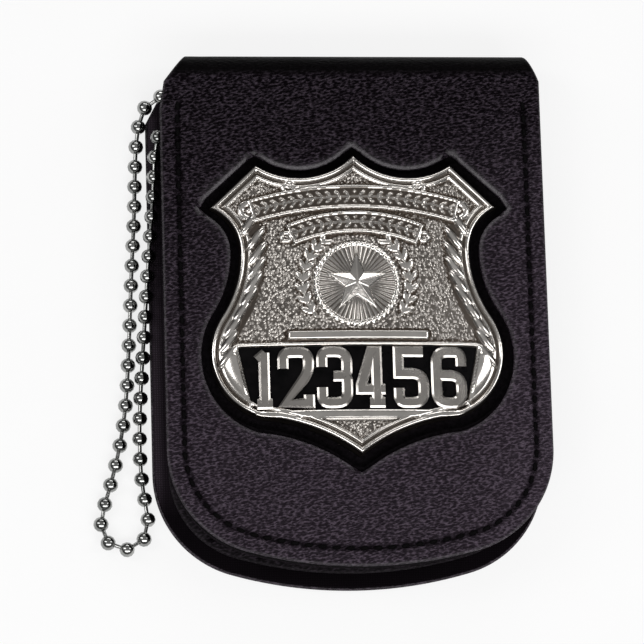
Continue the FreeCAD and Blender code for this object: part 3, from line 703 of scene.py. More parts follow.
def leather_finish(name, grain_depth, roughness):
    finish, tree, shader = start_finish(name)
    swell = noise(tree, object_place(tree, GRAIN_STRETCH, GRAIN_TURN), 1 / (GRAIN_SIZE * MM), GRAIN_DETAIL)
    pulled, rubbed = drawn(tree, "pulled"), drawn(tree, "handled")
    relief = maths(tree, "MULTIPLY", swell, less(tree, pulled, SMOOTH_AND_SHADE_LOSS["relief"]))
    bump(tree, shader, relief, grain_depth * MM)
    blotch = noise(tree, object_place(tree), *BLOTCH)
    # Painted sheen: the grain is painted paler towards the foot and on the right side.
    span = maths(tree, "MULTIPLY_ADD", rubbed, RIDGE_LIGHT["rubbed"], RIDGE_LIGHT["fresh"])
    hollow = maths(tree, "MULTIPLY_ADD", rubbed, HOLLOW_LIGHT["rubbed"], HOLLOW_LIGHT["fresh"])
    # Painted light on the ridges and painted shade in the hollows.
    light = maths(tree, "MULTIPLY_ADD", ramp(tree, swell, *GRAIN_TONES), span, hollow)
    # Painted shade: the fold and the inside leather lose nearly all their colour.
    light = maths(tree, "MULTIPLY", light, less(tree, pulled, SMOOTH_AND_SHADE_LOSS["light"]))
    # Painted shade darkens the seam groove.
    light = maths(tree, "MULTIPLY", light, less(tree, drawn(tree, "sunk"), GROOVE_SHADE_LOSS))
    colour = ramp(tree, light, (0.0, LEATHER_DARK), (1.0, LEATHER_RIDGE))
    # Pale edges: real wear, with a painted highlight added.
    worn_and_lit = maths(tree, "MULTIPLY", drawn(tree, "edge"), ramp(tree, blotch, *BLOTCH_WEAR))
    shine = ramp(tree, blotch, *((place, roughness + spread) for place, spread in SHINE_SPREAD))
    gleam = maths(tree, "MULTIPLY", pulled, GLEAM["pulled"])
    gleam = maths(tree, "MULTIPLY_ADD", light, GLEAM["ridge"], gleam)
    colour = mixed_colour(tree, worn_and_lit, colour, LEATHER_WORN_AND_LIT)
    feed(shader, Base_Color=colour, Roughness=shine, Specular_IOR_Level=gleam)
    print("finish", name)
    return finish


leather = leather_finish("pebbled_leather", grain_depth=0.95, roughness=0.42)

# %% [markdown]
# ## The folded leather
# One piece of leather makes the rear, the fold and the front. It is drafted flat, with the distance along
# the leather as its second coordinate, and then wrapped: flat over the front, half round over the fold and
# flat again under the rear. So the grain and the edges run on over the fold.

# %% Pattern of the case
FRONT_HALF = 40.0
REAR_HALF = 40.8
REAR_SHIFT = -1.35
FRONT_FOOT = -53.55
REAR_FOOT = -56.4
FOLD_Y = 49.425
FOLD_RADIUS = 6.975
FOLD_HALF = 39.0
FOLD_TAPER = 2.4
LEFT_DROOP = 2.4
RIGHT_SPREAD = 1.0
NECK_LENGTH = 6.0
CORNER_RADIUS = 22.0
FOOT_RADIUS = 90.0
LEATHER = 1.3
FOLD_ARC = FOLD_RADIUS * math.pi / 2


def panel_side(half_width, foot, inset, step, top=None):
    """Right side of a case panel, from the middle of its foot up to the fold."""
    half, radius, bow = half_width - inset, CORNER_RADIUS - inset, FOOT_RADIUS - inset
    bow_centre = foot + FOOT_RADIUS
    side = half - radius
    corner_y = bow_centre - math.sqrt((bow - radius) ** 2 - side ** 2)
    turn = math.atan2(side, bow_centre - corner_y)
    low = (bow * math.sin(turn), bow_centre - bow * math.cos(turn))
    halfway = (bow * math.sin(turn / 2), bow_centre - bow * math.cos(turn / 2))
    aim = (math.pi / 2 + turn) / 2
    round_middle = (side + radius * math.sin(aim), corner_y - radius * math.cos(aim))
    neck = FOLD_Y - NECK_LENGTH
    top = FOLD_Y if top is None else top
    lean = max(top - neck, 0) / NECK_LENGTH * (FOLD_HALF - half_width)
    points = arc_to((0, bow_centre - bow), halfway, low, step)
    points += arc_to(low, round_middle, (half, corner_y), step)
    points += line_to((half, corner_y), (half, min(neck, top)), step)
    if top > neck:
        points += line_to((half, neck), (half + lean, top), step)
    return np.array(points + [np.array((half + lean, top))])


def panel_path(half_width, foot, inset, step, top=None, shift=0.0):
    """Down the left side from the fold, round the foot and up the right; shift moves all below the neck."""
    right_side = panel_side(half_width, foot, inset, step, top)
    path = np.vstack((right_side[:0:-1] * (-1, 1), right_side))
    path[:, 0] += shift * np.clip((FOLD_Y - path[:, 1]) / NECK_LENGTH, 0, 1)
    return path


def front_run(y):
    return -(FOLD_ARC + FOLD_Y - y)


def wrapped(points, height):
    """Flat leather wrapped over the fold; height is measured out from the grain side."""
    run = np.abs(points[:, 1])
    side = np.where(points[:, 1] < 0, 1.0, -1.0)
    aim = np.minimum(run, FOLD_ARC) / FOLD_RADIUS
    rest = np.maximum(run - FOLD_ARC, 0)
    reach = FOLD_RADIUS + height
    y = FOLD_Y + reach * np.cos(aim) - rest
    z = FOLD_RADIUS + side * reach * np.sin(aim)
    return np.column_stack((points[:, 0], y, z))


EDGE_STEP = 0.9
front_path = panel_path(FRONT_HALF, FRONT_FOOT, 0, EDGE_STEP)
rear_path = panel_path(REAR_HALF, REAR_FOOT, 0, EDGE_STEP, None, REAR_SHIFT)
for path in (front_path, rear_path):
    rise = np.clip((path[:, 1] - FOLD_Y + NECK_LENGTH) / NECK_LENGTH, 0, 1)
    path[:, 0] += RIGHT_SPREAD * rise * (path[:, 0] > 0)
fold_runs = np.arange(-FOLD_ARC, FOLD_ARC, EDGE_STEP)[1:]
crest_share = np.cos(fold_runs / FOLD_RADIUS)
right_end = np.column_stack((FOLD_HALF + RIGHT_SPREAD - FOLD_TAPER * crest_share, fold_runs))
left_end = np.column_stack(((FOLD_TAPER + LEFT_DROOP) * crest_share - FOLD_HALF, fold_runs))
case_outline = np.vstack((
    np.column_stack((front_path[:, 0], front_run(front_path[:, 1]))),
    right_end,
    np.column_stack((rear_path[::-1, 0], -front_run(rear_path[::-1, 1]))),
    left_end[::-1],
))
print("leather pattern length", round(np.ptp(case_outline[:, 1]), 1), "mm")

# %% [markdown]
# ## Shield outline
# The badge has the outline of a traditional shield: a scalloped top with a point in the middle, pointed
# shoulders, a drawn-in waist, a round belly and a foot that runs out in two hollow curves. The cut-out in
# the leather follows the same line a little further out.

# %% Shield pattern
SHIELD_TOP = 33.0
SHIELD_HALF = 30.6
SHIELD_HEIGHT = 63.5
SCALLOP = (0.34 * SHIELD_HALF, 4.7)
PEAK = (0.665 * SHIELD_HALF, 1.8)
SHOULDER = (0.984 * SHIELD_HALF, 10.8)
WAIST = (0.786 * SHIELD_HALF, 20.3)
BELLY_DROP = 41.8
BELLY_RADIUS = 14.2
CORNER_DROP = 55.4
OGEE = (0.307 * SHIELD_HALF, 58.1)


def shield_outline(step):
    rise, reach = WAIST[1] - SHOULDER[1], SHOULDER[0] - WAIST[0]
    neck_radius = (reach ** 2 + rise ** 2) / (2 * reach)
    swell, fall = SHIELD_HALF - WAIST[0], BELLY_DROP - WAIST[1]
    waist_radius = (swell ** 2 + fall ** 2) / (2 * swell) - BELLY_RADIUS
    neck_aim = math.asin(rise / neck_radius) / 2
    swing = math.atan2(fall, waist_radius + BELLY_RADIUS - swell)
    corner_x = SHIELD_HALF - BELLY_RADIUS
    corner_x += math.sqrt(BELLY_RADIUS ** 2 - (CORNER_DROP - BELLY_DROP) ** 2)

    def on_waist(aim):
        return WAIST[0] + waist_radius * (1 - math.cos(aim)), WAIST[1] + waist_radius * math.sin(aim)

    neck = (WAIST[0] + neck_radius * (1 - math.cos(neck_aim)), WAIST[1] - neck_radius * math.sin(neck_aim))
    corner, foot = (corner_x, CORNER_DROP), (0, SHIELD_HEIGHT)
    points = arc_to((0, 0), SCALLOP, PEAK, step) + line_to(PEAK, SHOULDER, step)
    points += arc_to(SHOULDER, neck, WAIST, step) + arc_to(WAIST, on_waist(swing / 2), on_waist(swing), step)
    points += arc_to(on_waist(swing), (SHIELD_HALF, BELLY_DROP), corner, step)
    points += arc_to(corner, OGEE, foot, step) + [np.array(foot)]
    return mirrored([(x, SHIELD_TOP - drop) for x, drop in points])


CUTOUT_MARGIN = 1.9
CUTOUT_BLUNT = 1.12
CUTOUT_FOOT_DROP = 1.4
CUTOUT_SINK_RUN = 25
cutout = moved(shield_outline(EDGE_STEP), CUTOUT_MARGIN, CUTOUT_BLUNT)
cutout_drop = SHIELD_TOP - cutout[:, 1]
cutout[:, 1] -= CUTOUT_FOOT_DROP * ease(BELLY_DROP - CUTOUT_SINK_RUN, SHIELD_HEIGHT, cutout_drop)
cutout_run = np.column_stack((cutout[:, 0], front_run(cutout[:, 1])))
print("cut-out", np.round(np.ptp(cutout, axis=0), 1), "mm")

# %% [markdown]
# ## Wrap the leather
# The flat pattern is now bent round the fold. The face sinks along the seams and rounds off at its edges, and
# each point is marked with how smooth it is, how much painted shade and painted sheen it gets, and how worn
# and lit its edges are.

# %% Wrap the leather
STITCH_INSET = 3.6
STITCH_TOP = 44.0
GROOVE_HALF = 0.9
GROOVE_DEPTH = 0.30
EDGE_ROUND = 0.45
EDGE_ROWS = (0.06, 0.2, 0.45, 0.9, 2.7, 3.15, 3.6, 4.05, 4.5)
LEATHER_SPACING = 1.0
ROW_CLEAR = 0.4
UNDER_ROUND_SHARE = 0.5
# The span over the fold that is smoothed and darkened by painted shade.
SMOOTH_AND_SHADE_SHARES = (0.78, 0.93)
# A painted sheen, growing from the fold towards the foot, and on the right side below the fold.
SHEEN_RUN = 95
SHEEN_SIDE = (15, 40)
SHEEN_SIDE_RUN = 30
SHEEN_SIDE_SHARE = 0.6
# The upper edges of the cut-out get a painted highlight over their wear.
CUT_HIGHLIGHT_DROPS = (24, 8)
CUT_WEAR_AND_HIGHLIGHT_SHARES = (0.25, 0.75)
CUT_ARRIS = (0.1, 0.5, 1.0)
OUTER_ARRIS = (0.1, 0.2, 0.5)
# The outer arris is paler from wear and from a painted highlight.
OUTER_WEAR_AND_HIGHLIGHT = 0.4
# Where the painted shade of the seam groove begins.
GROOVE_SHADE_START = 0.35

front_seam = panel_path(FRONT_HALF, FRONT_FOOT, STITCH_INSET, EDGE_STEP, STITCH_TOP)
rear_seam = panel_path(REAR_HALF, REAR_FOOT, STITCH_INSET, EDGE_STEP, STITCH_TOP, REAR_SHIFT)
front_seam_run = np.column_stack((front_seam[:, 0], front_run(front_seam[:, 1])))
rear_seam_run = np.column_stack((rear_seam[:, 0], -front_run(rear_seam[:, 1])))


@once
def leather_gaps(points):
    """Distances to the outer edge, to the cut-out and to the nearer seam."""
    seam = np.minimum(nearest(points, front_seam_run, False), nearest(points, rear_seam_run, False))
    return nearest(points, case_outline), nearest(points, cutout_run), seam


def leather_face(points):
    outer, hole, seam = leather_gaps(points)
    return -rounding(np.minimum(outer, hole), EDGE_ROUND) - GROOVE_DEPTH * (1 - ease(0, GROOVE_HALF, seam))


def leather_under(points):
    outer, hole, _ = leather_gaps(points)
    return rounding(np.minimum(outer, hole), EDGE_ROUND) * UNDER_ROUND_SHARE - LEATHER


def arris(gap, start, peak, end):
    """A band of wear just inside an edge, 0 on the cut side itself."""
    return ease(0, start, gap) * (1 - ease(peak, end, gap))


def leather_marks(points):
    run = np.abs(points[:, 1])
    outer, hole, seam = leather_gaps(points)
    # Wear all round the cut-out, and a painted highlight on its upper edges.
    highlight_from, highlight_to = (SHIELD_TOP - drop for drop in CUT_HIGHLIGHT_DROPS)
    upper_highlight = ease(highlight_from, highlight_to, points[:, 1] + FOLD_ARC + FOLD_Y)
    cut_wear_and_highlight = (CUT_WEAR_AND_HIGHLIGHT_SHARES[0] + CUT_WEAR_AND_HIGHLIGHT_SHARES[1] * upper_highlight) * arris(hole, *CUT_ARRIS)
    # Painted sheen on the right side, fading in below the fold.
    side_sheen = SHEEN_SIDE_SHARE * ease(*SHEEN_SIDE, points[:, 0])
    side_sheen = side_sheen * ease(FOLD_ARC, FOLD_ARC + SHEEN_SIDE_RUN, run)
    return {
        "pulled": 1 - ease(FOLD_ARC * SMOOTH_AND_SHADE_SHARES[0], FOLD_ARC * SMOOTH_AND_SHADE_SHARES[1], run),
        "handled": ease(FOLD_ARC, FOLD_ARC + SHEEN_RUN, run) + side_sheen,
        "edge": np.maximum(cut_wear_and_highlight, OUTER_WEAR_AND_HIGHLIGHT * arris(outer, *OUTER_ARRIS)),
        "sunk": 1 - ease(GROOVE_SHADE_START, GROOVE_HALF, seam),
    }


extra = filled(case_outline, [cutout_run], LEATHER_SPACING, EDGE_ROWS[-1] + ROW_CLEAR, EDGE_ROWS)
case_leather = sheet_piece(
    "case_leather", case_outline, [cutout_run], extra, wrapped,
    leather_face, leather_under, leather, leather_marks,
)
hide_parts("front_leather", "fold_leather", "rear_leather")
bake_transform(case_leather)

# %% [markdown]
# ## Stitching
# A row of black thread runs inside the edge of the front and of the rear, from one side of the fold round
# the foot to the other. Each stitch is a short plump strand that dives into the leather at both ends, so a
# long ball is laid at every step of the seam line, half sunk in the groove that the thread has pulled.

# %% Thread finish
THREAD_TWIST = 1.6
THREAD_WOBBLE = 1.5
THREAD_FUZZ = 4000.0
THREAD_TONES = ((0.2, (0.0008, 0.0007, 0.0008)), (0.8, (0.0035, 0.0030, 0.0035)))
THREAD_SHINE = ((0.3, 0.62), (0.7, 0.80))
THREAD_RELIEF = (0.06, 0.7)

thread, tree, shader = start_finish("waxed_thread", Specular_IOR_Level=0.04)
where = object_place(tree)
sockets = {"Vector": where, "Scale": THREAD_TWIST / MM, "Distortion": THREAD_WOBBLE}
strand = put(tree, "ShaderNodeTexWave", sockets, bands_direction="DIAGONAL").outputs["Fac"]
fuzz = noise(tree, where, THREAD_FUZZ)
feed(shader, Base_Color=ramp(tree, strand, *THREAD_TONES), Roughness=ramp(tree, fuzz, *THREAD_SHINE))
depth, strength = THREAD_RELIEF
bump(tree, shader, strand, depth * MM, strength)
print("finish waxed_thread")

# %% Lay the seams
STITCH_PITCH = 2.85
STITCH_LENGTH = 1.9
STITCH_WIDTH = 0.95
STITCH_HEIGHT = 0.62
STITCH_SLANT = math.radians(5)
STITCH_LIFT = -0.10
REAR_LIFT = -0.35

stitch_tree, stitch_named = repeat_tree("seam_stitches", thread, segments=8, rings=6, wired=False)


def seam(name, points, body):
    """A row of stitches along points in millimetres, riding on one half of the case."""
    row = set_along(
        name, (np.asarray(points) + (CENTRE_X, 0, 0)) * MM, stitch_tree, stitch_named,
        Pitch=STITCH_PITCH * MM, Length=STITCH_LENGTH * MM, Width=STITCH_WIDTH * MM,
        Height=STITCH_HEIGHT * MM, Slant=STITCH_SLANT, Wire=0.0,
    )
    return dress(row, "leather_black", body)


seam("front_seam", wrapped(front_seam_run, np.full(len(front_seam_run), STITCH_LIFT)), "front_half")
seam("rear_seam", wrapped(rear_seam_run, np.full(len(rear_seam_run), REAR_LIFT)), "rear_half")

# %% [markdown]
# ## Struck nickel
# The badge is struck from sheet metal, plated and polished. Raised edges are bright, and the low ground
# between them is matted with fine dots and holds a dark patina. The badge maker below paints two values on
# the points, how matted the ground is and how deep a point lies below its surroundings, and the finish turns
# them into roughness, dots and darker colour.

# %% Nickel finish
NICKEL = (0.75, 0.715, 0.675)
NICKEL_DULL_SHARE = 0.86
NICKEL_PATINA = (0.074, 0.058, 0.046)
DOT_SIZE = 0.48
DOT_TONES = ((0.1, 1.0), (0.6, 0.0))
DOT_RISE = 0.14
SMEAR = (260.0, 4.0)
FINE_GRAIN = (1500.0, 3.0)
FINE_SHARE = 0.10
PATINA_SHARES = {"hollow": 0.62, "deep": 0.95, "ground": 0.20}
POLISH = ((0.3, 0.10), (0.7, 0.20))
PATINA_ROUGHNESS = 0.22


def nickel_finish(name):
    finish, tree, shader = start_finish(name, Metallic=1.0)
    where = object_place(tree)
    ground, deep = drawn(tree, "matted"), drawn(tree, "deep")
    cells = put(tree, "ShaderNodeTexVoronoi", {"Vector": where, "Scale": 1 / (DOT_SIZE * MM)})
    dots = ramp(tree, cells.outputs["Distance"], *DOT_TONES)
    smear = noise(tree, where, *SMEAR)
    hollow = maths(tree, "MULTIPLY", ground, maths(tree, "SUBTRACT", 1.0, dots))
    dark = maths(tree, "MULTIPLY", deep, PATINA_SHARES["deep"])
    dark = maths(tree, "MULTIPLY_ADD", hollow, PATINA_SHARES["hollow"], dark)
    dark = maths(tree, "MULTIPLY_ADD", ground, PATINA_SHARES["ground"], dark)
    dark = maths(tree, "MINIMUM", dark, 1.0)
    bright = ramp(tree, smear, (0.3, tuple(NICKEL_DULL_SHARE * v for v in NICKEL)), (0.7, NICKEL))
    rough = maths(tree, "MULTIPLY_ADD", dark, PATINA_ROUGHNESS, ramp(tree, smear, *POLISH))
    feed(shader, Base_Color=mixed_colour(tree, dark, bright, NICKEL_PATINA), Roughness=rough)
    relief = maths(tree, "MULTIPLY", ground, dots)
    relief = maths(tree, "MULTIPLY_ADD", noise(tree, where, *FINE_GRAIN), FINE_SHARE, relief)
    bump(tree, shader, relief, DOT_RISE * MM)
    print("finish", name)
    return finish


nickel = nickel_finish("struck_nickel")
print("nickel finish ready")

# %% [markdown]
# ## Badge relief
# The whole face of the shield is one height field over its outline: a crowned sheet with a double rim, two
# scroll ribbons with a garland, plump leaves up the flanks, laurel sprays round the middle, a ledge, and a
# sunk panel for the number. Each ornament is a small rule that gives its height at a point, and the highest
# one wins. Rows of points follow the sharp edges, so that these come out clean.

# %% Places on the badge
CROWN_RADIUS = 180.0
CROWN_TOP = 15.067
BADGE_SEAT = 10.95
BADGE_STEP = 0.32
BADGE_SPACING = 0.275
HOLLOW_INSET = 3.0
HOLLOW_DEPTH = 1.2
EMBLEM_DROP = 27.4
EMBLEM_RADIUS = 9.2

badge_outline = shield_outline(BADGE_STEP)
flank = badge_outline[(badge_outline[:, 0] > 0)]
flank = flank[(SHIELD_TOP - flank[:, 1] > SHOULDER[1]) & (SHIELD_TOP - flank[:, 1] < CORNER_DROP)]
flank = flank[np.argsort(SHIELD_TOP - flank[:, 1])]


def crown(x):
    return CROWN_TOP - CROWN_RADIUS + np.sqrt(CROWN_RADIUS ** 2 - x ** 2)


def flank_at(drop):
    """Half width of the shield at a drop below its top point."""
    return np.interp(drop, SHIELD_TOP - flank[:, 1], flank[:, 0])


def ribbon_round(drop, reach, sag):
    """Centre and radius of the arc that a ribbon follows."""
    radius = (reach ** 2 + sag ** 2) / (2 * sag)
    return SHIELD_TOP - drop - radius, radius


def ribbon_loop(drop, width, reach, sag):
    """Outline of a scroll ribbon: two arcs about one centre, closed by straight ends."""
    centre, radius = ribbon_round(drop, reach, sag)
    aim = math.asin(reach / radius)

    def at(r, a):
        return r * math.sin(a), centre + r * math.cos(a)

    outer, inner = radius + width / 2, radius - width / 2
    points = arc_to(at(inner, -aim), at(inner, 0), at(inner, aim), BADGE_STEP)
    points += line_to(at(inner, aim), at(outer, aim), BADGE_STEP)
    points += arc_to(at(outer, aim), at(outer, 0), at(outer, -aim), BADGE_STEP)
    points += line_to(at(outer, -aim), at(inner, -aim), BADGE_STEP)
    return np.array(points)


def block_loop(top_half, foot_half, top_drop, foot_drop, step):
    """Outline of a panel with slanting sides."""
    high, low = SHIELD_TOP - top_drop, SHIELD_TOP - foot_drop
    corners = [(-top_half, high), (-foot_half, low), (foot_half, low), (top_half, high)]
    return closed_lines(corners, step)


UPPER_RIBBON = {"drop": 8.9, "width": 5.0, "reach": 21.6, "sag": 2.9}
LOWER_RIBBON = {"drop": 14.3, "width": 4.6, "reach": 13.6, "sag": 2.7}
ribbons = [(size, ribbon_loop(**size)) for size in (UPPER_RIBBON, LOWER_RIBBON)]
NUMBER_PANEL = block_loop(24.8, 22.0, 40.7, 54.0, BADGE_STEP)
LEDGE = block_loop(14.6, 14.6, 37.5, 39.3, BADGE_STEP)
FOOT_BAR = block_loop(22.2, 21.6, 54.3, 55.8, BADGE_STEP)
print("shield half width at the waist", round(float(flank_at(WAIST[1])), 2), "mm")

# %% [markdown]
# ## Ridges and leaves
# Three rules make most of the ornament: a ridge that follows an edge, the distance inside a loop, and a leaf
# with a fold along its middle. The ornaments that follow only say where these stand and which way they point.

# %% Ridges and leaves
LOOK_ROUND = 2.5
LEAST_HALF = 1e-3
SMALLEST = 1e-6
VEIN_SHARE = 0.35
VEIN_WIDTH = 0.12


def ridge(gap, centre, half, rise):
    """A rounded ridge that follows an edge at a distance."""
    return rise * np.clip(1 - ((gap - centre) / half) ** 2, 0, 1)


def signed(points, loop):
    """Distance inside a loop, negative outside, worked out only near the loop."""
    low, high = loop.min(axis=0) - LOOK_ROUND, loop.max(axis=0) + LOOK_ROUND
    close = np.all((points > low) & (points < high), axis=1)
    gap = np.full(len(points), -LOOK_ROUND)
    inner = points[close]
    gap[close] = np.where(within(inner, loop), 1, -1) * nearest(inner, loop)
    return gap


def along_and_across(points, centre, aim):
    """Places of points along and across a leaf that points the way aim says."""
    along = toward(aim)
    local = points - centre
    return local @ along, local @ np.array((-along[1], along[0]))


def leaf(points, centre, aim, length, width, rise):
    """A lens-shaped leaf with a fold along its middle; aim is the way it points."""
    run, side = along_and_across(points, centre, aim)
    half = width / 2 * np.clip(1 - (2 * run / length) ** 2, 0, 1)
    fill = np.clip(1 - np.abs(side) / np.maximum(half, SMALLEST), 0, 1)
    vein = 1 - VEIN_SHARE * np.exp(-(side / VEIN_WIDTH) ** 2)
    return np.where(half > LEAST_HALF, rise * np.sqrt(fill) * vein, 0)


# %% Leaves up the flanks and laurel sprays
FLANK_DROPS = np.arange(14.6, 45.0, 3.1)
FLANK_INSET = 3.6
FLANK_BAND = 5.2
FLANK_LEAN = math.radians(36)
FLANK_LEAF = {"length": 6.4, "width": 1.85, "rise": 0.9}
SPRAY_RADIUS = 11.2
SPRAY_AIMS = np.radians(np.arange(-34, 62, 12.0))
SPRAY_STEM = {"half": 0.28, "rise": 0.32}
SPRAY_STEM_OVER = 0.1
SPRAY_SPREAD = 0.55
SPRAY_ROOT = 1.35
SPRAY_LEAF = {"length": 2.9, "width": 1.15, "rise": 0.42}


def flank_leaves(points):
    """Plump leaves that lean inwards up both flanks, each against the next like a rope's strands."""
    high = np.zeros(len(points))
    for drop in FLANK_DROPS:
        for sign in (1, -1):
            centre = np.array((sign * (flank_at(drop) - FLANK_INSET), SHIELD_TOP - drop))
            run, side = along_and_across(points, centre, math.pi / 2 + sign * FLANK_LEAN)
            run, side = run / (FLANK_LEAF["length"] / 2), side / (FLANK_LEAF["width"] / 2)
            high = np.maximum(high, FLANK_LEAF["rise"] * np.sqrt(np.clip(1 - run ** 2 - side ** 2, 0, 1)))
    return high


def leaf_band(points, gap):
    """Whether a point lies in the strip along a flank that the leaves fill."""
    drop = SHIELD_TOP - points[:, 1]
    return (gap < FLANK_BAND) & (drop > FLANK_DROPS[0]) & (drop < FLANK_DROPS[-1])


def laurel_sprays(points):
    """Two sprays of paired leaves that rise round the middle device."""
    middle = np.array((0, SHIELD_TOP - EMBLEM_DROP))
    local = points - middle
    around = np.arctan2(local[:, 1], np.abs(local[:, 0]))
    stem = np.abs(np.hypot(*local.T) - SPRAY_RADIUS)
    on_stem = (around > SPRAY_AIMS[0] - SPRAY_STEM_OVER) & (around < SPRAY_AIMS[-1] + SPRAY_STEM_OVER)
    high = np.where(on_stem, ridge(stem, 0, **SPRAY_STEM), 0)
    for aim in SPRAY_AIMS:
        for sign in (1, -1):
            root = middle + SPRAY_RADIUS * np.array((sign * math.cos(aim), math.sin(aim)))
            for spread in (SPRAY_SPREAD, -SPRAY_SPREAD):
                way = math.atan2(math.cos(aim), -sign * math.sin(aim)) + spread
                centre = root + SPRAY_ROOT * toward(way)
                high = np.maximum(high, leaf(points, centre, way, **SPRAY_LEAF))
    return high


print("flank leaves", 2 * len(FLANK_DROPS), "and spray leaves", 4 * len(SPRAY_AIMS))

# %% Garland and curls
GARLAND_PITCH = 1.9
GARLAND_SLANT = -0.9
GARLAND_OFF = 0.72
GARLAND_REACH = 0.62
GARLAND_FILL = 0.23
GARLAND_RISE = 0.34
GARLAND_LEAST = 0.02
GARLAND_STEM = {"half": 0.22, "rise": 0.22}
GARLAND_EDGE = 0.75
CURLS = ((13.6, 6.9, 1.5), (22.0, 11.6, 2.2), (14.4, 17.4, 1.25))
CURL_RING_SHARES = (0.72, 0.36)
CURL_EYE_SHARE = 0.3
CURL_RISE = 0.42


def ribbon_garland(points, band, centre, radius):
    """A stem with pairs of small leaves that aim at the middle of the ribbon."""
    local = points - np.array((0, centre))
    run = np.abs(np.arctan2(local[:, 0], local[:, 1]) * radius)
    side = np.abs(np.hypot(*local.T) - radius)
    slide = (run + side * GARLAND_SLANT) % GARLAND_PITCH - GARLAND_PITCH / 2
    long = np.clip(1 - ((side - GARLAND_OFF) / GARLAND_REACH) ** 2, 0, 1)
    half = np.maximum(GARLAND_PITCH * GARLAND_FILL * long, SMALLEST)
    fill = np.clip(1 - np.abs(slide) / half, 0, 1)
    leaves = GARLAND_RISE * np.sqrt(fill) * (long > GARLAND_LEAST)
    return np.where(band > GARLAND_EDGE, np.maximum(leaves, ridge(side, 0, **GARLAND_STEM)), 0)


def scroll_curls(points):
    """Small coiled ends above and below the ribbons."""
    high = np.zeros(len(points))
    for x, drop, radius in CURLS:
        gap = np.hypot(np.abs(points[:, 0]) - x, points[:, 1] - SHIELD_TOP + drop)
        ring, width = (radius * share for share in CURL_RING_SHARES)
        high = np.maximum(high, ridge(gap, ring, width, CURL_RISE))
        high = np.maximum(high, ridge(gap, 0, radius * CURL_EYE_SHARE, CURL_RISE))
    return high


# %% [markdown]
# ## Height of the badge
# Here the ornaments come together. The rim, the ribbons, the belly, the ledge, the foot bar and the sunk
# panel are laid over each other in turn, and the ground that stays bare is matted.

# %% Height of the badge
RIM_GROUND = 2.5
RIM_SOFT = 0.2
RIM_ROUND = 0.3
RIM_RIDGES = ((0.62, 0.62, 0.55), (1.45, 0.3, -0.16), (2.0, 0.42, 0.42))
MATTED_DROPS = (40.2, 56.4)
MATTED_LEVEL = 0.12
RIBBON_RISE = 0.30
RIBBON_EDGE = (0.32, 0.34, 0.30)
BELLY_DROPS = (40, 56)
BELLY_START = (40.4, 42.6)
BELLY_RISE = 0.95
BELLY_CREST = 4.6
BELLY_SPAN = 2.6
BELLY_OFF_PANEL = (0.2, 1.0)
BELLY_OVER_RIM = 0.4
LEDGE_RISE = 0.8
BAR_RISE = 0.5
BLOCK_ROUND = 0.35
PANEL_FRAME = (0.45, 0.42, 0.42)
PANEL_FRAME_WIDTH = 0.9
PANEL_SINK = 0.6


@once
def badge_relief(points):
    """Height over the crowned sheet, and how matted the surface is."""
    gap = nearest(points, badge_outline)
    drop = SHIELD_TOP - points[:, 1]
    rim = sum(ridge(gap, *sizes) for sizes in RIM_RIDGES)
    panel, ledge, bar = (signed(points, loop) for loop in (NUMBER_PANEL, LEDGE, FOOT_BAR))
    open_ground = (drop < MATTED_DROPS[0]) | (drop > MATTED_DROPS[1])
    matted = ease(RIM_GROUND - RIM_SOFT, RIM_GROUND + RIM_SOFT, gap) * open_ground
    height = np.maximum(flank_leaves(points), np.maximum(laurel_sprays(points), scroll_curls(points)))
    for size, loop in ribbons:
        band = signed(points, loop)
        leaves = ribbon_garland(points, band, *ribbon_round(size["drop"], size["reach"], size["sag"]))
        height = np.where(band > 0, RIBBON_RISE + ridge(band, *RIBBON_EDGE) + leaves, height)
    clear = (panel < 0) & (bar < 0)
    belly = (drop > BELLY_DROPS[0]) & (drop < BELLY_DROPS[1]) & clear & (gap > RIM_GROUND - BELLY_OVER_RIM)
    swell = BELLY_RISE * np.sqrt(np.clip(1 - ((gap - BELLY_CREST) / BELLY_SPAN) ** 2, 0, 1))
    swell = swell * ease(*BELLY_OFF_PANEL, -panel) * ease(*BELLY_START, drop)
    height = np.where(belly, np.maximum(height, swell), height)
    height = np.where(ledge > 0, LEDGE_RISE - rounding(ledge, BLOCK_ROUND), height)
    height = np.where(bar > 0, BAR_RISE - rounding(bar, BLOCK_ROUND), height)
    framed = clear & (panel > -PANEL_FRAME_WIDTH) & (ledge < 0)
    height = np.where(framed, np.maximum(height, ridge(-panel, *PANEL_FRAME)), height)
    height = np.where(panel > 0, -PANEL_SINK, height)
    matted = matted * (height < MATTED_LEVEL) * (panel < 0) * ~leaf_band(points, gap)
    height = np.where(gap < RIM_GROUND, np.maximum(height, rim) + np.minimum(rim, 0), height)
    return height - np.where(gap < RIM_ROUND, rounding(gap, RIM_ROUND), 0), matted


# %% [markdown]
# ## Dark hollows
# Old nickel keeps its dark patina where no thumb or cloth reaches. So each point is compared with the mean
# level round it: the further it lies below, the darker it gets.

# %% Depth below the surroundings
DEPTH_CELL = 0.25
DEPTH_BLUR = 6
DEPTH_FULL = 0.30
SUNK_LEVEL = -0.3

low, high = badge_outline.min(axis=0), badge_outline.max(axis=0)
xs = np.arange(low[0], high[0] + DEPTH_CELL, DEPTH_CELL)
ys = np.arange(low[1], high[1] + DEPTH_CELL, DEPTH_CELL)
lattice = np.stack(np.meshgrid(xs, ys), axis=-1)
levels = badge_relief(lattice.reshape(-1, 2))[0].reshape(len(ys), len(xs))
levels = np.where(levels < SUNK_LEVEL, 0.0, levels)
spread = levels.copy()
for axis in (0, 1):
    shifted = [np.roll(spread, k, axis) for k in range(-DEPTH_BLUR // 2, DEPTH_BLUR // 2 + 1)]
    spread = np.mean(shifted, axis=0)


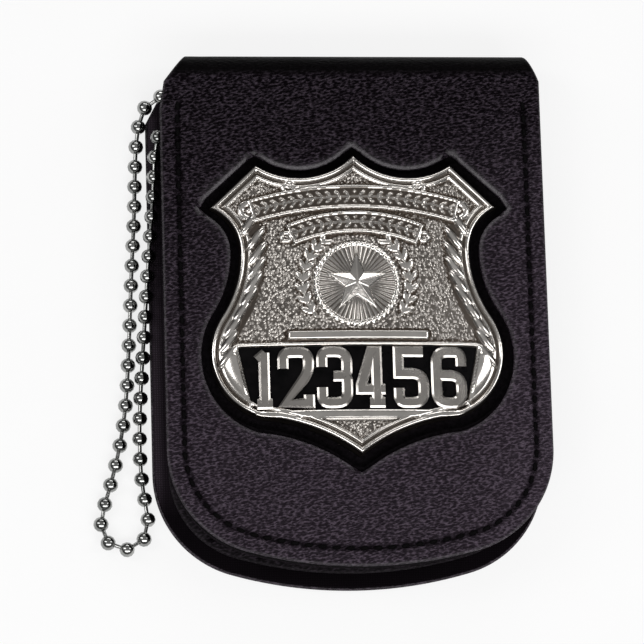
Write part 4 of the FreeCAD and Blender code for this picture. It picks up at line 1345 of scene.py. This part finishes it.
def depth_at(points, height):
    """How far a point lies below the mean level round it, from 0 to 1."""
    column = np.clip(((points[:, 0] - low[0]) / DEPTH_CELL).round().astype(int), 0, len(xs) - 1)
    line = np.clip(((points[:, 1] - low[1]) / DEPTH_CELL).round().astype(int), 0, len(ys) - 1)
    return np.clip((spread[line, column] - height) / DEPTH_FULL, 0, 1)


print("relief from", round(float(levels.min()), 2), "to", round(float(levels.max()), 2), "mm")

# %% [markdown]
# ## Strike the badge
# The badge is made as a sheet with its relief as the face and a hollow back. Points are set close along the
# rim, the ribbons and the panel, on both sides of every sharp edge, and more loosely between them.

# %% Strike the badge
RIM_ROWS = (0.05, 0.14, 0.28, 0.45, 0.62, 0.8, 0.98, 1.15, 1.3, 1.45, 1.6, 1.75, 1.9, 2.1, 2.3, 2.5)
EDGE_SPLIT = 0.07
RIBBON_PATINA = 1.0
LEAF_PATINA = 0.25
GROOVE_LEVELS = (0.60, 0.30)
RIM_CLEAR = 0.15
EDGE_CLEAR = 0.2
CROSSING_CLEAR = 0.16
RIBBON_INNER = 0.6
RIBBON_LOW = 0.42
DEEPEST = -0.2
HOLLOW_SOFT = 0.4

edges = [loop for _, loop in ribbons] + [NUMBER_PANEL, LEDGE, FOOT_BAR]
extra = filled(badge_outline, [], BADGE_SPACING, RIM_ROWS[-1] + RIM_CLEAR, RIM_ROWS)
for loop in edges:
    extra = extra[nearest(extra, loop) > EDGE_CLEAR]
for loop in edges:
    for out in (EDGE_SPLIT, -EDGE_SPLIT):
        row = moved(loop, out)
        keep = np.ones(len(row), bool)
        for other in edges:
            if other is not loop:
                keep &= nearest(row, other) > CROSSING_CLEAR
        extra = np.vstack((extra, row[keep]))


def badge_face(points):
    return crown(points[:, 0]) + badge_relief(points)[0]


def badge_under(points):
    gap = nearest(points, badge_outline)
    return BADGE_SEAT + HOLLOW_DEPTH * ease(HOLLOW_INSET - HOLLOW_SOFT, HOLLOW_INSET, gap)


def badge_marks(points):
    height, matted = badge_relief(points)
    deep = depth_at(points, np.maximum(height, DEEPEST))
    for _, loop in ribbons:
        low_part = np.where(height < RIBBON_LOW, RIBBON_PATINA, LEAF_PATINA)
        deep = np.where(signed(points, loop) > RIBBON_INNER, np.maximum(deep, low_part), deep)
    gap = nearest(points, badge_outline)
    groove = np.clip((GROOVE_LEVELS[0] - height) / (GROOVE_LEVELS[0] - GROOVE_LEVELS[1]), 0, 1)
    deep = np.where(leaf_band(points, gap) & (gap > RIM_GROUND), np.maximum(deep, groove), deep)
    return {"matted": matted, "deep": deep}


badge = sheet_piece(
    "struck_shield", badge_outline, [], extra, flat_place, badge_face, badge_under, nickel, badge_marks
)
dress(badge, "badge_nickel", "front_half", "badge_shield")

# %% [markdown]
# ## Middle device
# A round medallion sits in the middle of the badge: a roped ring round a plain five-pointed star, the most
# common device on badges of this kind. The star's faces slope evenly from its centre to its edges, so each
# catches the light at its own angle, and a fan of fine rays fills the ground.

# %% Star in a ring
STAR_POINTS = 5
STAR_RADIUS = 6.4
STAR_INNER = 2.7
RING_WIDTH = 1.3
ROPE_TURNS = 44
RAY_COUNT = 48
EMBLEM_STEP = 0.22
EMBLEM_SEAT = 0.02
EMBLEM_CLEAR = 0.12
STAR_CLEAR = 0.14
STAR_SPLIT = 0.05
STAR_LEVEL = 0.45
STAR_RISE = 1.05
RAY_LEVEL = 0.24
RAY_RISE = 0.10
RAY_REACH = (2, 5)
RING_RISE = 0.75
ROPE_LEAST, ROPE_SWING, ROPE_LEAN = 0.82, 0.18, 2.2
GROUND_PATINA = 0.6
GROUND_FADE = 4

emblem_middle = np.array((0, SHIELD_TOP - EMBLEM_DROP))
aims = np.arange(0, math.tau, EMBLEM_STEP / EMBLEM_RADIUS)
emblem_outline = emblem_middle + EMBLEM_RADIUS * np.column_stack((np.cos(aims), np.sin(aims)))
corners = []
for k in range(2 * STAR_POINTS):
    reach = STAR_INNER if k % 2 else STAR_RADIUS
    aim = math.pi / 2 + k * math.pi / STAR_POINTS
    corners.append(emblem_middle + reach * toward(aim))
star_loop = closed_lines(corners, EMBLEM_STEP)


def star_share(points):
    """1 at the star's centre, 0 on its edge, negative outside."""
    local = points - emblem_middle
    fold = math.pi / STAR_POINTS
    aim = np.abs((np.arctan2(local[:, 0], local[:, 1]) + fold) % (2 * fold) - fold)
    a = np.array((STAR_RADIUS, 0.0))
    b = STAR_INNER * toward(fold)
    normal = np.array((b[1] - a[1], a[0] - b[0]))
    edge = (normal @ a) / (normal[0] * np.cos(aim) + normal[1] * np.sin(aim))
    return 1 - np.hypot(*local.T) / edge


@once
def emblem_relief(points):
    local = points - emblem_middle
    reach, aim = np.hypot(*local.T), np.arctan2(local[:, 1], local[:, 0])
    share = star_share(points)
    rays = RAY_LEVEL + RAY_RISE * np.cos(RAY_COUNT * aim) * ease(*RAY_REACH, reach)
    rope = EMBLEM_RADIUS - RING_WIDTH / 2
    twist = ROPE_LEAST + ROPE_SWING * np.cos(ROPE_TURNS * aim + ROPE_LEAN * (reach - rope))
    ring = ridge(np.abs(reach - rope), 0, RING_WIDTH / 2, RING_RISE) * twist
    return np.where(share > 0, STAR_LEVEL + STAR_RISE * share, np.maximum(rays, ring)), share


def emblem_face(points):
    return crown(points[:, 0]) + emblem_relief(points)[0]


def emblem_marks(points):
    height, share = emblem_relief(points)
    reach = np.hypot(*(points - emblem_middle).T)
    ground = (share <= 0) & (reach < EMBLEM_RADIUS - RING_WIDTH)
    low_ground = np.clip(GROUND_PATINA - GROUND_FADE * (height - RAY_LEVEL), 0, 1)
    return {"matted": np.zeros(len(points)), "deep": ground * low_ground}


extra = filled(emblem_outline, [], EMBLEM_STEP, EMBLEM_CLEAR)
extra = extra[nearest(extra, star_loop) > STAR_CLEAR]
for out in (STAR_SPLIT, -STAR_SPLIT):
    extra = np.vstack((extra, moved(star_loop, out)))
emblem = sheet_piece(
    "star_medallion", emblem_outline, [], extra, flat_place, emblem_face,
    lambda points: crown(points[:, 0]) + EMBLEM_SEAT, nickel, emblem_marks,
)
dress(emblem, "badge_nickel", "front_half", "emblem")

# %% [markdown]
# ## Number plate and numerals
# Six raised numerals stand on a black enamelled plate. They are plain block figures in order. Each figure is
# drawn as one or two strokes on a grid, and a bevelled bar is swept along every stroke, with mitred corners,
# as such figures are cut from bar stock.

# %% Strokes of the figures
BAR_MITRE_LIMIT = 0.6
CORNER_ROUND = 2.4
CORNER_STEPS = 6
CORNER_SHARE = 0.45
FIGURE_STROKES = (
    [[(0.5, 0.0), (0.5, 1.0)], [(0.06, 0.86), (0.6, 0.99)], [(0.0, 0.0), (1.0, 0.0)]],
    [[(0, 0.68), (0, 1), (1, 1), (1, 0.60), (0.05, 0, 0), (1, 0, 0), (1, 0.16)]],
    [
        [(0, 0.70), (0, 1), (1, 1), (1, 0.52), (0.45, 0.52)],
        [(0.6, 0.52), (1, 0.52), (1, 0), (0, 0), (0, 0.30)],
    ],
    [[(0.66, 0), (0.66, 1, 0), (0.45, 1, 0), (0, 0.34, 0), (0, 0.26, 0), (1, 0.26)], [(0.34, 0), (0.98, 0)]],
    [[(1, 1), (0, 1, 0), (0, 0.57, 0), (1, 0.57), (1, 0), (0, 0), (0, 0.28)]],
    [[(1, 0.72), (1, 1), (0, 1), (0, 0), (1, 0), (1, 0.54), (0, 0.54)]],
)


def softened(stroke, size):
    """A stroke in millimetres with round corners; a corner with 0 as its third number stays sharp."""
    places = [(np.array(corner[:2]) - 0.5) * size for corner in stroke]
    points = [places[0]]
    for before, (here, corner), after in zip(places, zip(places[1:-1], stroke[1:-1]), places[2:]):
        if len(corner) > 2:
            points.append(here)
            continue
        back, ahead = before - here, after - here
        long_back, long_ahead = np.linalg.norm(back), np.linalg.norm(ahead)
        reach = min(CORNER_ROUND, CORNER_SHARE * long_back, CORNER_SHARE * long_ahead)
        start, end = here + back / long_back * reach, here + ahead / long_ahead * reach
        for t in np.linspace(0, 1, CORNER_STEPS):
            points.append((1 - t) ** 2 * start + 2 * t * (1 - t) * here + t * t * end)
    return points + [places[-1]]


def swept(path, section):
    """Points and faces of a bar with this (across, height) section along a flat path."""
    path = np.array(path, float)
    ahead = np.diff(path, axis=0)
    ahead /= np.linalg.norm(ahead, axis=1)[:, None]
    normal = np.column_stack((-ahead[:, 1], ahead[:, 0]))
    before, after = np.vstack((normal[:1], normal)), np.vstack((normal, normal[-1:]))
    share = np.maximum(1 + np.sum(before * after, axis=1), BAR_MITRE_LIMIT)
    mitre = (before + after) / share[:, None]
    count, ends = len(section), len(path) - 1
    points = [(*(path[k] + across * mitre[k]), height) for k in range(ends + 1) for across, height in section]
    faces = [tuple(range(count)), tuple(ends * count + k for k in reversed(range(count)))]
    for k in range(ends):
        for j in range(count):
            low, high = k * count + j, k * count + (j + 1) % count
            faces.append((low, low + count, high + count, high))
    return np.array(points), faces


print("figures", len(FIGURE_STROKES))

# %% [markdown]
# ## Set the numerals
# Every stroke becomes one bar with a bevelled section. All bars are joined into one piece that stands on the
# plate, with hard edges between the bevels.

# %% Numerals
NUMERAL_PLACES = (-19.7, -13.2, -5.25, 2.7, 10.65, 18.6)
NUMERAL_WIDTHS = (5.4, 7.5, 7.4, 7.2, 7.4, 7.5)
NUMERAL_HEIGHT = 13.0
NUMERAL_DROP = 47.4
NUMERAL_RISE = 0.62
NUMERAL_FLOOR = -0.5
STROKE_WIDTH = 2.25
STROKE_BEVEL = (0.42, 0.245)
NUMERAL_PATINA = 0.40
SHARP_TURN = math.radians(20)

half = STROKE_WIDTH / 2
flat, shoulder = half - STROKE_BEVEL[0], NUMERAL_RISE - STROKE_BEVEL[1]
section = (
    (half, NUMERAL_FLOOR), (half, shoulder), (flat, NUMERAL_RISE),
    (-flat, NUMERAL_RISE), (-half, shoulder), (-half, NUMERAL_FLOOR),
)
points, faces = np.empty((0, 3)), []
for strokes, middle, wide in zip(FIGURE_STROKES, NUMERAL_PLACES, NUMERAL_WIDTHS):
    for stroke in strokes:
        line = softened(stroke, (wide - STROKE_WIDTH, NUMERAL_HEIGHT - STROKE_WIDTH))
        bar, sides = swept(np.array(line) + (middle, SHIELD_TOP - NUMERAL_DROP), section)
        bar[:, 2] += crown(bar[:, 0])
        faces += [[k + len(points) for k in side] for side in sides]
        points = np.vstack((points, bar))
blank = np.zeros(len(points))
marks = {"matted": blank, "deep": blank + NUMERAL_PATINA}
numerals = finished_mesh("raised_numerals", points, faces, nickel, marks)
numerals.data.set_sharp_from_angle(angle=SHARP_TURN)
dress(numerals, "badge_nickel", "front_half", "numerals")

# %% [markdown]
# ## Black enamel
# The plate behind the numerals is filled with hard black enamel, fired and ground nearly flat. It has almost
# no colour, so its look comes from faint clouds in the polish and a slight ripple that the grinding left.

# %% Enamel of the plate
enamel = mottled(
    "black_enamel", grain=(350.0, 4.0),
    tones=((0.3, (0.0010, 0.0010, 0.0012)), (0.7, (0.0035, 0.0030, 0.0034))),
    shine=((0.3, 0.22), (0.7, 0.40)), relief=(0.03, 0.4), other={"relief": (900.0,)}, Specular_IOR_Level=0.06,
)

# %% [markdown]
# ## Inside of the case
# The halves are built up in layers. Boards stiffen both, black cloth lines them, and a felt pad gives the
# badge pin its room. In the rear half a leather welt on three sides and a leather frame hold a clear film,
# and a card slides in from the right. All are slabs cut to the case's outline or to plain shapes, so one
# slab maker with softly rounded edges serves them.

# %% Slab maker and outlines
LAYER_INSET = 0.4
SLAB_SPACING = 4.0
INKED_EDGE = 0.10
# The inside leather of the pocket is smoothed and darkened by painted shade at this share.
INSIDE_SMOOTH_AND_SHADE = 0.5
SLAB_ROW_SHARE = 0.3
BOX_STEPS = 6
SQUARE_CM = 1e4


def panel_loop(half_width, foot, inset, shift, top):
    """Closed outline of a layer that follows the case panel and is cut straight at the top."""
    path = panel_path(half_width, foot, inset, EDGE_STEP, top, shift)
    return np.vstack((path, line_to(path[-1], path[0], EDGE_STEP)[1:]))


def rounded_box(left, right, low, high, radius):
    """Counter-clockwise rectangle with round corners."""
    points = []
    middle = np.array((left + right, low + high)) / 2
    for turn, corner in enumerate(((right, low), (right, high), (left, high), (left, low))):
        centre = corner - np.copysign(radius, corner - middle)
        for step in range(BOX_STEPS + 1):
            aim = math.pi / 2 * (turn - 1 + step / BOX_STEPS)
            points.append(centre + radius * toward(aim))
    return closed_lines(points, EDGE_STEP)


def slab(name, outline, holes, low, high, finish, soft, body, node, slot):
    """A flat piece with rounded edges between two levels, standing for a node of the frame."""
    @once
    def gap(points):
        return np.min([nearest(points, loop) for loop in (outline, *holes)], axis=0)

    def marks(points):
        inked = INKED_EDGE * (1 - ease(0, 2 * soft, gap(points)))
        return {"edge": inked, "pulled": np.full(len(points), INSIDE_SMOOTH_AND_SHADE)}

    extra = filled(outline, holes, SLAB_SPACING, 2 * soft, (SLAB_ROW_SHARE * soft, soft))
    piece = sheet_piece(
        name, outline, holes, extra, flat_place,
        lambda points: high - rounding(gap(points), soft), lambda points: low + rounding(gap(points), soft),
        finish, marks,
    )
    return dress(piece, slot, body, node)


def area_of(loop):
    """Area inside a loop in millimetres, in square metres."""
    ahead = np.roll(loop, -1, axis=0)
    return abs(np.sum(loop[:, 0] * ahead[:, 1] - loop[:, 1] * ahead[:, 0])) / 2 * MM * MM


front_layer = panel_loop(FRONT_HALF, FRONT_FOOT, LAYER_INSET, 0.0, FOLD_Y - LAYER_INSET)
rear_layer = panel_loop(REAR_HALF, REAR_FOOT, LAYER_INSET, REAR_SHIFT, FOLD_Y - LAYER_INSET)
print("front layer", round(area_of(front_layer) * SQUARE_CM, 1), "cm2")

# %% [markdown]
# ## Lining cloth
# The lining is a plain black weave. Two crossed waves make its threads; Blender's wave runs 20 times as fast
# as its scale says, so that factor is taken out. Painted light makes the cloth paler at the open left side,
# and painted shade makes the rear lining darker at its foot, under the front half; the front lining stays out
# of that shade. So the colour also depends on the place in the case.

# %% Woven lining
THREAD_PITCH = 0.5
THREAD_WANDER = 0.6
WAVE_FACTOR = 20
WAVE_TURN = math.tau / WAVE_FACTOR / (THREAD_PITCH * MM)
# Painted light at the open left side and painted shade at the foot of the rear lining.
PAINTED_LIGHT_REACH = 40.8
FRONT_RISE = 100.0
LIT_SIDE_SHARE, PLAIN_LIGHT_SHARE, SHADED_FOOT_SHARE = 0.55, 0.33, 0.12
LIT_SIDE_STOPS = ((0.945, 0.0), (0.975, 1.0))
FOOT_SHADE_STOPS = ((0.0, 0.0), (0.2, 1.0))
FRONT_UNSHADED_STOPS = ((0.4, 0.0), (0.6, 1.0))
WEAVE_SHARE = 0.6
CLOTH_TONES = ((0.0, (0.0008, 0.0006, 0.0008)), (1.0, (0.054, 0.042, 0.054)))
CLOTH_FUZZ = 800.0
CLOTH_SHINE = ((0.3, 0.75), (0.7, 0.95))
CLOTH_RELIEF = (0.10, 0.8)

lining, tree, shader = start_finish("woven_lining", Specular_IOR_Level=0.0)
where = object_place(tree)
sockets = {"Vector": where, "Scale": WAVE_TURN, "Distortion": THREAD_WANDER}
warp = put(tree, "ShaderNodeTexWave", sockets, bands_direction="X").outputs["Fac"]
weft = put(tree, "ShaderNodeTexWave", sockets, bands_direction="Y").outputs["Fac"]
weave = maths(tree, "MULTIPLY", warp, weft)
apart = put(tree, "ShaderNodeSeparateXYZ", {0: where}).outputs
leftward = maths(tree, "MULTIPLY", apart["X"], -1 / (PAINTED_LIGHT_REACH * MM))
upward = maths(tree, "MULTIPLY_ADD", apart["Y"], 1 / (PAINTED_LIGHT_REACH * MM), 1.0)
# Painted light: paler at the open left side. Painted shade: darker at the foot, except on the front lining.
lit_side = ramp(tree, leftward, *LIT_SIDE_STOPS)
clear_of_shade = ramp(tree, upward, *FOOT_SHADE_STOPS)
front_unshaded = ramp(tree, maths(tree, "MULTIPLY", apart["Z"], FRONT_RISE), *FRONT_UNSHADED_STOPS)
painted_light = maths(tree, "MULTIPLY_ADD", lit_side, LIT_SIDE_SHARE, PLAIN_LIGHT_SHARE)
painted_light = maths(tree, "MULTIPLY_ADD", painted_light, maths(tree, "MAXIMUM", clear_of_shade, front_unshaded), SHADED_FOOT_SHARE)
woven = maths(tree, "MULTIPLY_ADD", weave, WEAVE_SHARE, 1 - WEAVE_SHARE)
tone = ramp(tree, maths(tree, "MULTIPLY", woven, painted_light), *CLOTH_TONES)
feed(shader, Base_Color=tone, Roughness=ramp(tree, noise(tree, where, CLOTH_FUZZ), *CLOTH_SHINE))
depth, strength = CLOTH_RELIEF
bump(tree, shader, weave, depth * MM, strength)
print("finish woven_lining")

# %% [markdown]
# ## Felt, board, film and steel
# Four plain materials fill the rest of the case. Pressed felt is a tangle of hairs, board shows fibres that
# lie flat, the clear film is faintly hazy and wavy, and the plated pin shows lines along the drawn wire.

# %% Felt, board, film and steel
felt = mottled(
    "pressed_felt", grain=(2400.0, 5.0, 0.7),
    tones=((0.3, (0.004, 0.004, 0.004)), (0.7, (0.018, 0.017, 0.018))),
    shine=((0.3, 0.8), (0.7, 1.0)), relief=(0.25, 0.9), Specular_IOR_Level=0.0,
)
board = mottled(
    "fibre_board", grain=(1500.0, 5.0, 0.65), stretch=(1, 1, 4),
    tones=((0.3, (0.0020, 0.0016, 0.0020)), (0.75, (0.0095, 0.0080, 0.0095))),
    shine=((0.3, 0.7), (0.7, 0.9)), relief=(0.10, 0.7), other={"shine": (300.0,)}, Specular_IOR_Level=0.0,
)
film = mottled(
    "clear_film", grain=(120.0, 5.0, 0.6), tones=((0.35, (0.90, 0.92, 0.92)), (0.75, (0.97, 0.98, 0.98))),
    shine=((0.4, 0.04), (0.8, 0.16)), relief=(0.15, 0.3), other={"relief": (45.0,)},
    Transmission_Weight=1.0, IOR=1.46,
)
steel = mottled(
    "plated_steel", grain=(2600.0, 3.0), stretch=(0.15, 1, 1),
    tones=((0.3, (0.38, 0.38, 0.39)), (0.7, (0.58, 0.58, 0.58))),
    shine=((0.3, 0.24), (0.7, 0.40)), relief=(0.03, 0.6), Metallic=1.0,
)

REFINISH = {
    "rear_board": board, "recess_board": board, "badge_backing": board, "number_plate": enamel,
    "id_window": film, "pin_joint": steel, "pin_catch": steel, "pin_stem": steel, "chain_coupling": steel,
}
for name, finish in REFINISH.items():
    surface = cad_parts[name].data
    surface.materials.clear()
    surface.materials.append(finish)
print("refinished", sorted(REFINISH))

# %% [markdown]
# ## Linings and pin pad
# Both halves are lined with cloth that is glued down flat. Behind the badge lies a felt pad with a channel,
# so that the closed pin never presses on the lining.

# %% Linings and pin pad
LININGS = {
    "front_lining": (front_layer, 8.15, 8.65, "front_half", "pin_pad"),
    "rear_lining": (rear_layer, 2.0, 2.5, "rear_half", "rear_board"),
}
PIN_PAD = (8.65, 10.05)
PIN_CHANNEL = (-19.7, 19.7, 6.0, 11.4)
CHANNEL_CORNER = 1.0
CLOTH_SOFT = 0.2
PAD_SOFT = 0.3

for node, (outline, low, high, body, under) in LININGS.items():
    cloth = slab(node + "_cloth", outline, [], low, high, lining, CLOTH_SOFT, body, node, "lining_black")
pad = slab(
    "pin_felt", front_layer, [rounded_box(*PIN_CHANNEL, CHANNEL_CORNER)], *PIN_PAD, felt, PAD_SOFT,
    "front_half", "pin_pad", "felt_pad",
)

# %% [markdown]
# ## Card pocket
# A leather welt on three sides makes room for a card, and a leather frame with a rounded window lies over it.
# The welt follows the edge of the case and is open to the right, where the card slides in.

# %% Card pocket
POCKET_INSET = 3.2
POCKET_TOP = 42.725
CARD_ROOM = (-27.3, -45.275, 41.325)
WINDOW = (-24.75, 22.05, -32.9, 35.925)
WINDOW_CORNER = 3.0
WELT_LEVELS = (2.5, 3.3)
WELT_SOFT = 0.2
FRAME_LEVELS = (3.65, 4.25)
FRAME_SOFT = 0.22
HAIRLINE = 0.01

pocket = panel_loop(REAR_HALF, REAR_FOOT, POCKET_INSET, REAR_SHIFT, POCKET_TOP)
room_left, room_low, room_high = CARD_ROOM
right_side = (pocket[:, 0] > 0) & (pocket[:, 1] > room_low) & (pocket[:, 1] < POCKET_TOP - HAIRLINE)
first = int(np.argmax(right_side))
crossing = pocket[first - 1:first + 1]
mouth_low = np.array((np.interp(room_low, crossing[:, 1], crossing[:, 0]), room_low))
pocket_right = pocket[:, 0].max()
notch_corners = (
    mouth_low, (room_left, room_low), (room_left, room_high), (pocket_right, room_high),
    (pocket_right, POCKET_TOP),
)
notch = []
for start, end in zip(notch_corners, notch_corners[1:]):
    notch += line_to(start, end, EDGE_STEP)
after = first + int(np.sum(right_side))
welt_loop = np.vstack((pocket[:first], notch, pocket[after:]))
opening = rounded_box(*WINDOW, WINDOW_CORNER)
plain_leather = leather_finish("pocket_leather", grain_depth=0.55, roughness=0.46)
slab(
    "pocket_welt_leather", welt_loop, [], *WELT_LEVELS, plain_leather, WELT_SOFT,
    "rear_half", "pocket_welt", "leather_black",
)
slab(
    "window_frame_leather", pocket, [opening], *FRAME_LEVELS, plain_leather, FRAME_SOFT,
    "rear_half", "id_window_frame", "leather_black",
)

# %% [markdown]
# ## Stitches of the pocket
# One seam runs round the window and holds the film. Another runs along the outer edge of the frame and leaves
# out the mouth of the pocket.

# %% Stitches of the pocket
FRAME_STITCH_INSET = 1.7
POCKET_LIFT = 0.05

ring = moved(opening, FRAME_STITCH_INSET)
ring = np.vstack((ring, ring[:1]))
border_top = POCKET_TOP - FRAME_STITCH_INSET
border = panel_loop(REAR_HALF, REAR_FOOT, POCKET_INSET + FRAME_STITCH_INSET, REAR_SHIFT, border_top)
mouth = (border[:, 0] > 0) & (border[:, 1] > room_low) & (border[:, 1] < border_top - HAIRLINE)
sewn = border[~mouth]
turn = int(np.argmax(np.linalg.norm(np.diff(sewn, axis=0), axis=1))) + 1
sewn = np.vstack((sewn[turn:], sewn[:turn]))
for name, row in (("window_seam", ring), ("pocket_seam", sewn)):
    level = FRAME_LEVELS[1] + STITCH_LIFT + POCKET_LIFT
    seam(name, np.column_stack((row, np.full(len(row), level))), "rear_half")

# %% [markdown]
# ## Sleeve of the chain
# A leather loop is sewn under the fold and the chain runs through it. Its section is an arch on a flat
# foot with a round bore, drawn out along the fold, with the ends slightly rounded.

# %% Draw out the sleeve
SLEEVE_ENDS = (-26.0, 20.0)
SLEEVE_CENTRE = (46.225, 5.1)
SLEEVE_OUTER = 2.6
SLEEVE_BORE = 2.0
SLEEVE_SOFT = 0.18
SLEEVE_SIDES = 32
SLEEVE_CORNER_SHARE = 1.3

aims = np.linspace(0, math.tau, SLEEVE_SIDES + 1)[:-1]
box_reach = SLEEVE_OUTER / np.maximum(np.abs(np.cos(aims)), np.abs(np.sin(aims)))
foot_reach = np.minimum(box_reach, SLEEVE_OUTER * SLEEVE_CORNER_SHARE)
outer = np.where(np.sin(aims) >= 0, SLEEVE_OUTER, foot_reach)
start, end = SLEEVE_ENDS
stations = ((start, SLEEVE_SOFT), (start + SLEEVE_SOFT, 0), (end - SLEEVE_SOFT, 0), (end, SLEEVE_SOFT))
rings = [(x, outer - trim) for x, trim in stations]
rings += [(x, np.full(len(aims), SLEEVE_BORE + trim)) for x, trim in reversed(stations)]
points, faces, count = [], [], len(aims)
y, z = SLEEVE_CENTRE
for x, reach in rings:
    points += [(x, y + r * math.cos(a), z + r * math.sin(a)) for a, r in zip(aims, reach)]
for k in range(len(rings)):
    for j in range(count):
        here, there = k * count, (k + 1) % len(rings) * count
        faces.append((here + j, here + (j + 1) % count, there + (j + 1) % count, there + j)[::-1])
sleeve = finished_mesh("chain_sleeve_leather", points, faces, plain_leather)
dress(sleeve, "leather_black", "rear_half", "chain_sleeve")

# %% [markdown]
# ## Hook and loop
# Two strips of tape keep the halves shut near the foot. One carries rows of stiff hooks, set down one by one
# on a flat base, and the other a low brushed pile, which is a soft slab with a rough face.

# %% Hook tape and loop tape
TAPE = (-13.0, 13.0, -46.9, -35.9)
TAPE_CORNER = 2.0
HOOK_PITCH = 1.05
HOOK_ROOT = 5.2
HOOK_TIP = 6.2
HOOK_WIDTH = 0.42
HOOK_SUNK = 0.1
HOOK_SOFT = 0.3
LOOP_LEVELS = (6.3, 8.15)
LOOP_SOFT = 0.7

tape_finish = mottled(
    "tape_black", grain=(3200.0, 5.0, 0.75),
    tones=((0.3, (0.0025, 0.0025, 0.003)), (0.7, (0.016, 0.015, 0.017))),
    shine=((0.3, 0.6), (0.7, 0.9)), relief=(0.5, 1.0), Specular_IOR_Level=0.2, Sheen_Weight=0.2,
)
tape_loop = rounded_box(*TAPE, TAPE_CORNER)
slab("loop_tape", tape_loop, [], *LOOP_LEVELS, tape_finish, LOOP_SOFT, "front_half", "loop_pad", "loop_tape")
slab(
    "hook_tape", tape_loop, [], FRAME_LEVELS[1], HOOK_ROOT + HOOK_SUNK, tape_finish, HOOK_SOFT,
    "rear_half", "hook_pad", "hook_tape",
)
zigzag = []
left, right, low, high = TAPE
for row, y in enumerate(np.arange(low + HOOK_PITCH, high, HOOK_PITCH)):
    ends = [(left + HOOK_PITCH, y), (right - HOOK_PITCH, y)]
    zigzag += ends if row % 2 == 0 else ends[::-1]
level = (HOOK_ROOT + HOOK_TIP) / 2
hook_tree, hook_named = repeat_tree("hook_rows", tape_finish, segments=6, rings=4, wired=False)
hooks = set_along(
    "hook_rows", [((x + CENTRE_X) * MM, y * MM, level * MM) for x, y in zigzag], hook_tree, hook_named,
    Pitch=HOOK_PITCH * MM, Length=HOOK_WIDTH * MM, Width=HOOK_WIDTH * MM, Height=(HOOK_TIP - HOOK_ROOT) * MM,
    Slant=0.0, Wire=0.0,
)
dress(hooks, "hook_tape", "rear_half")
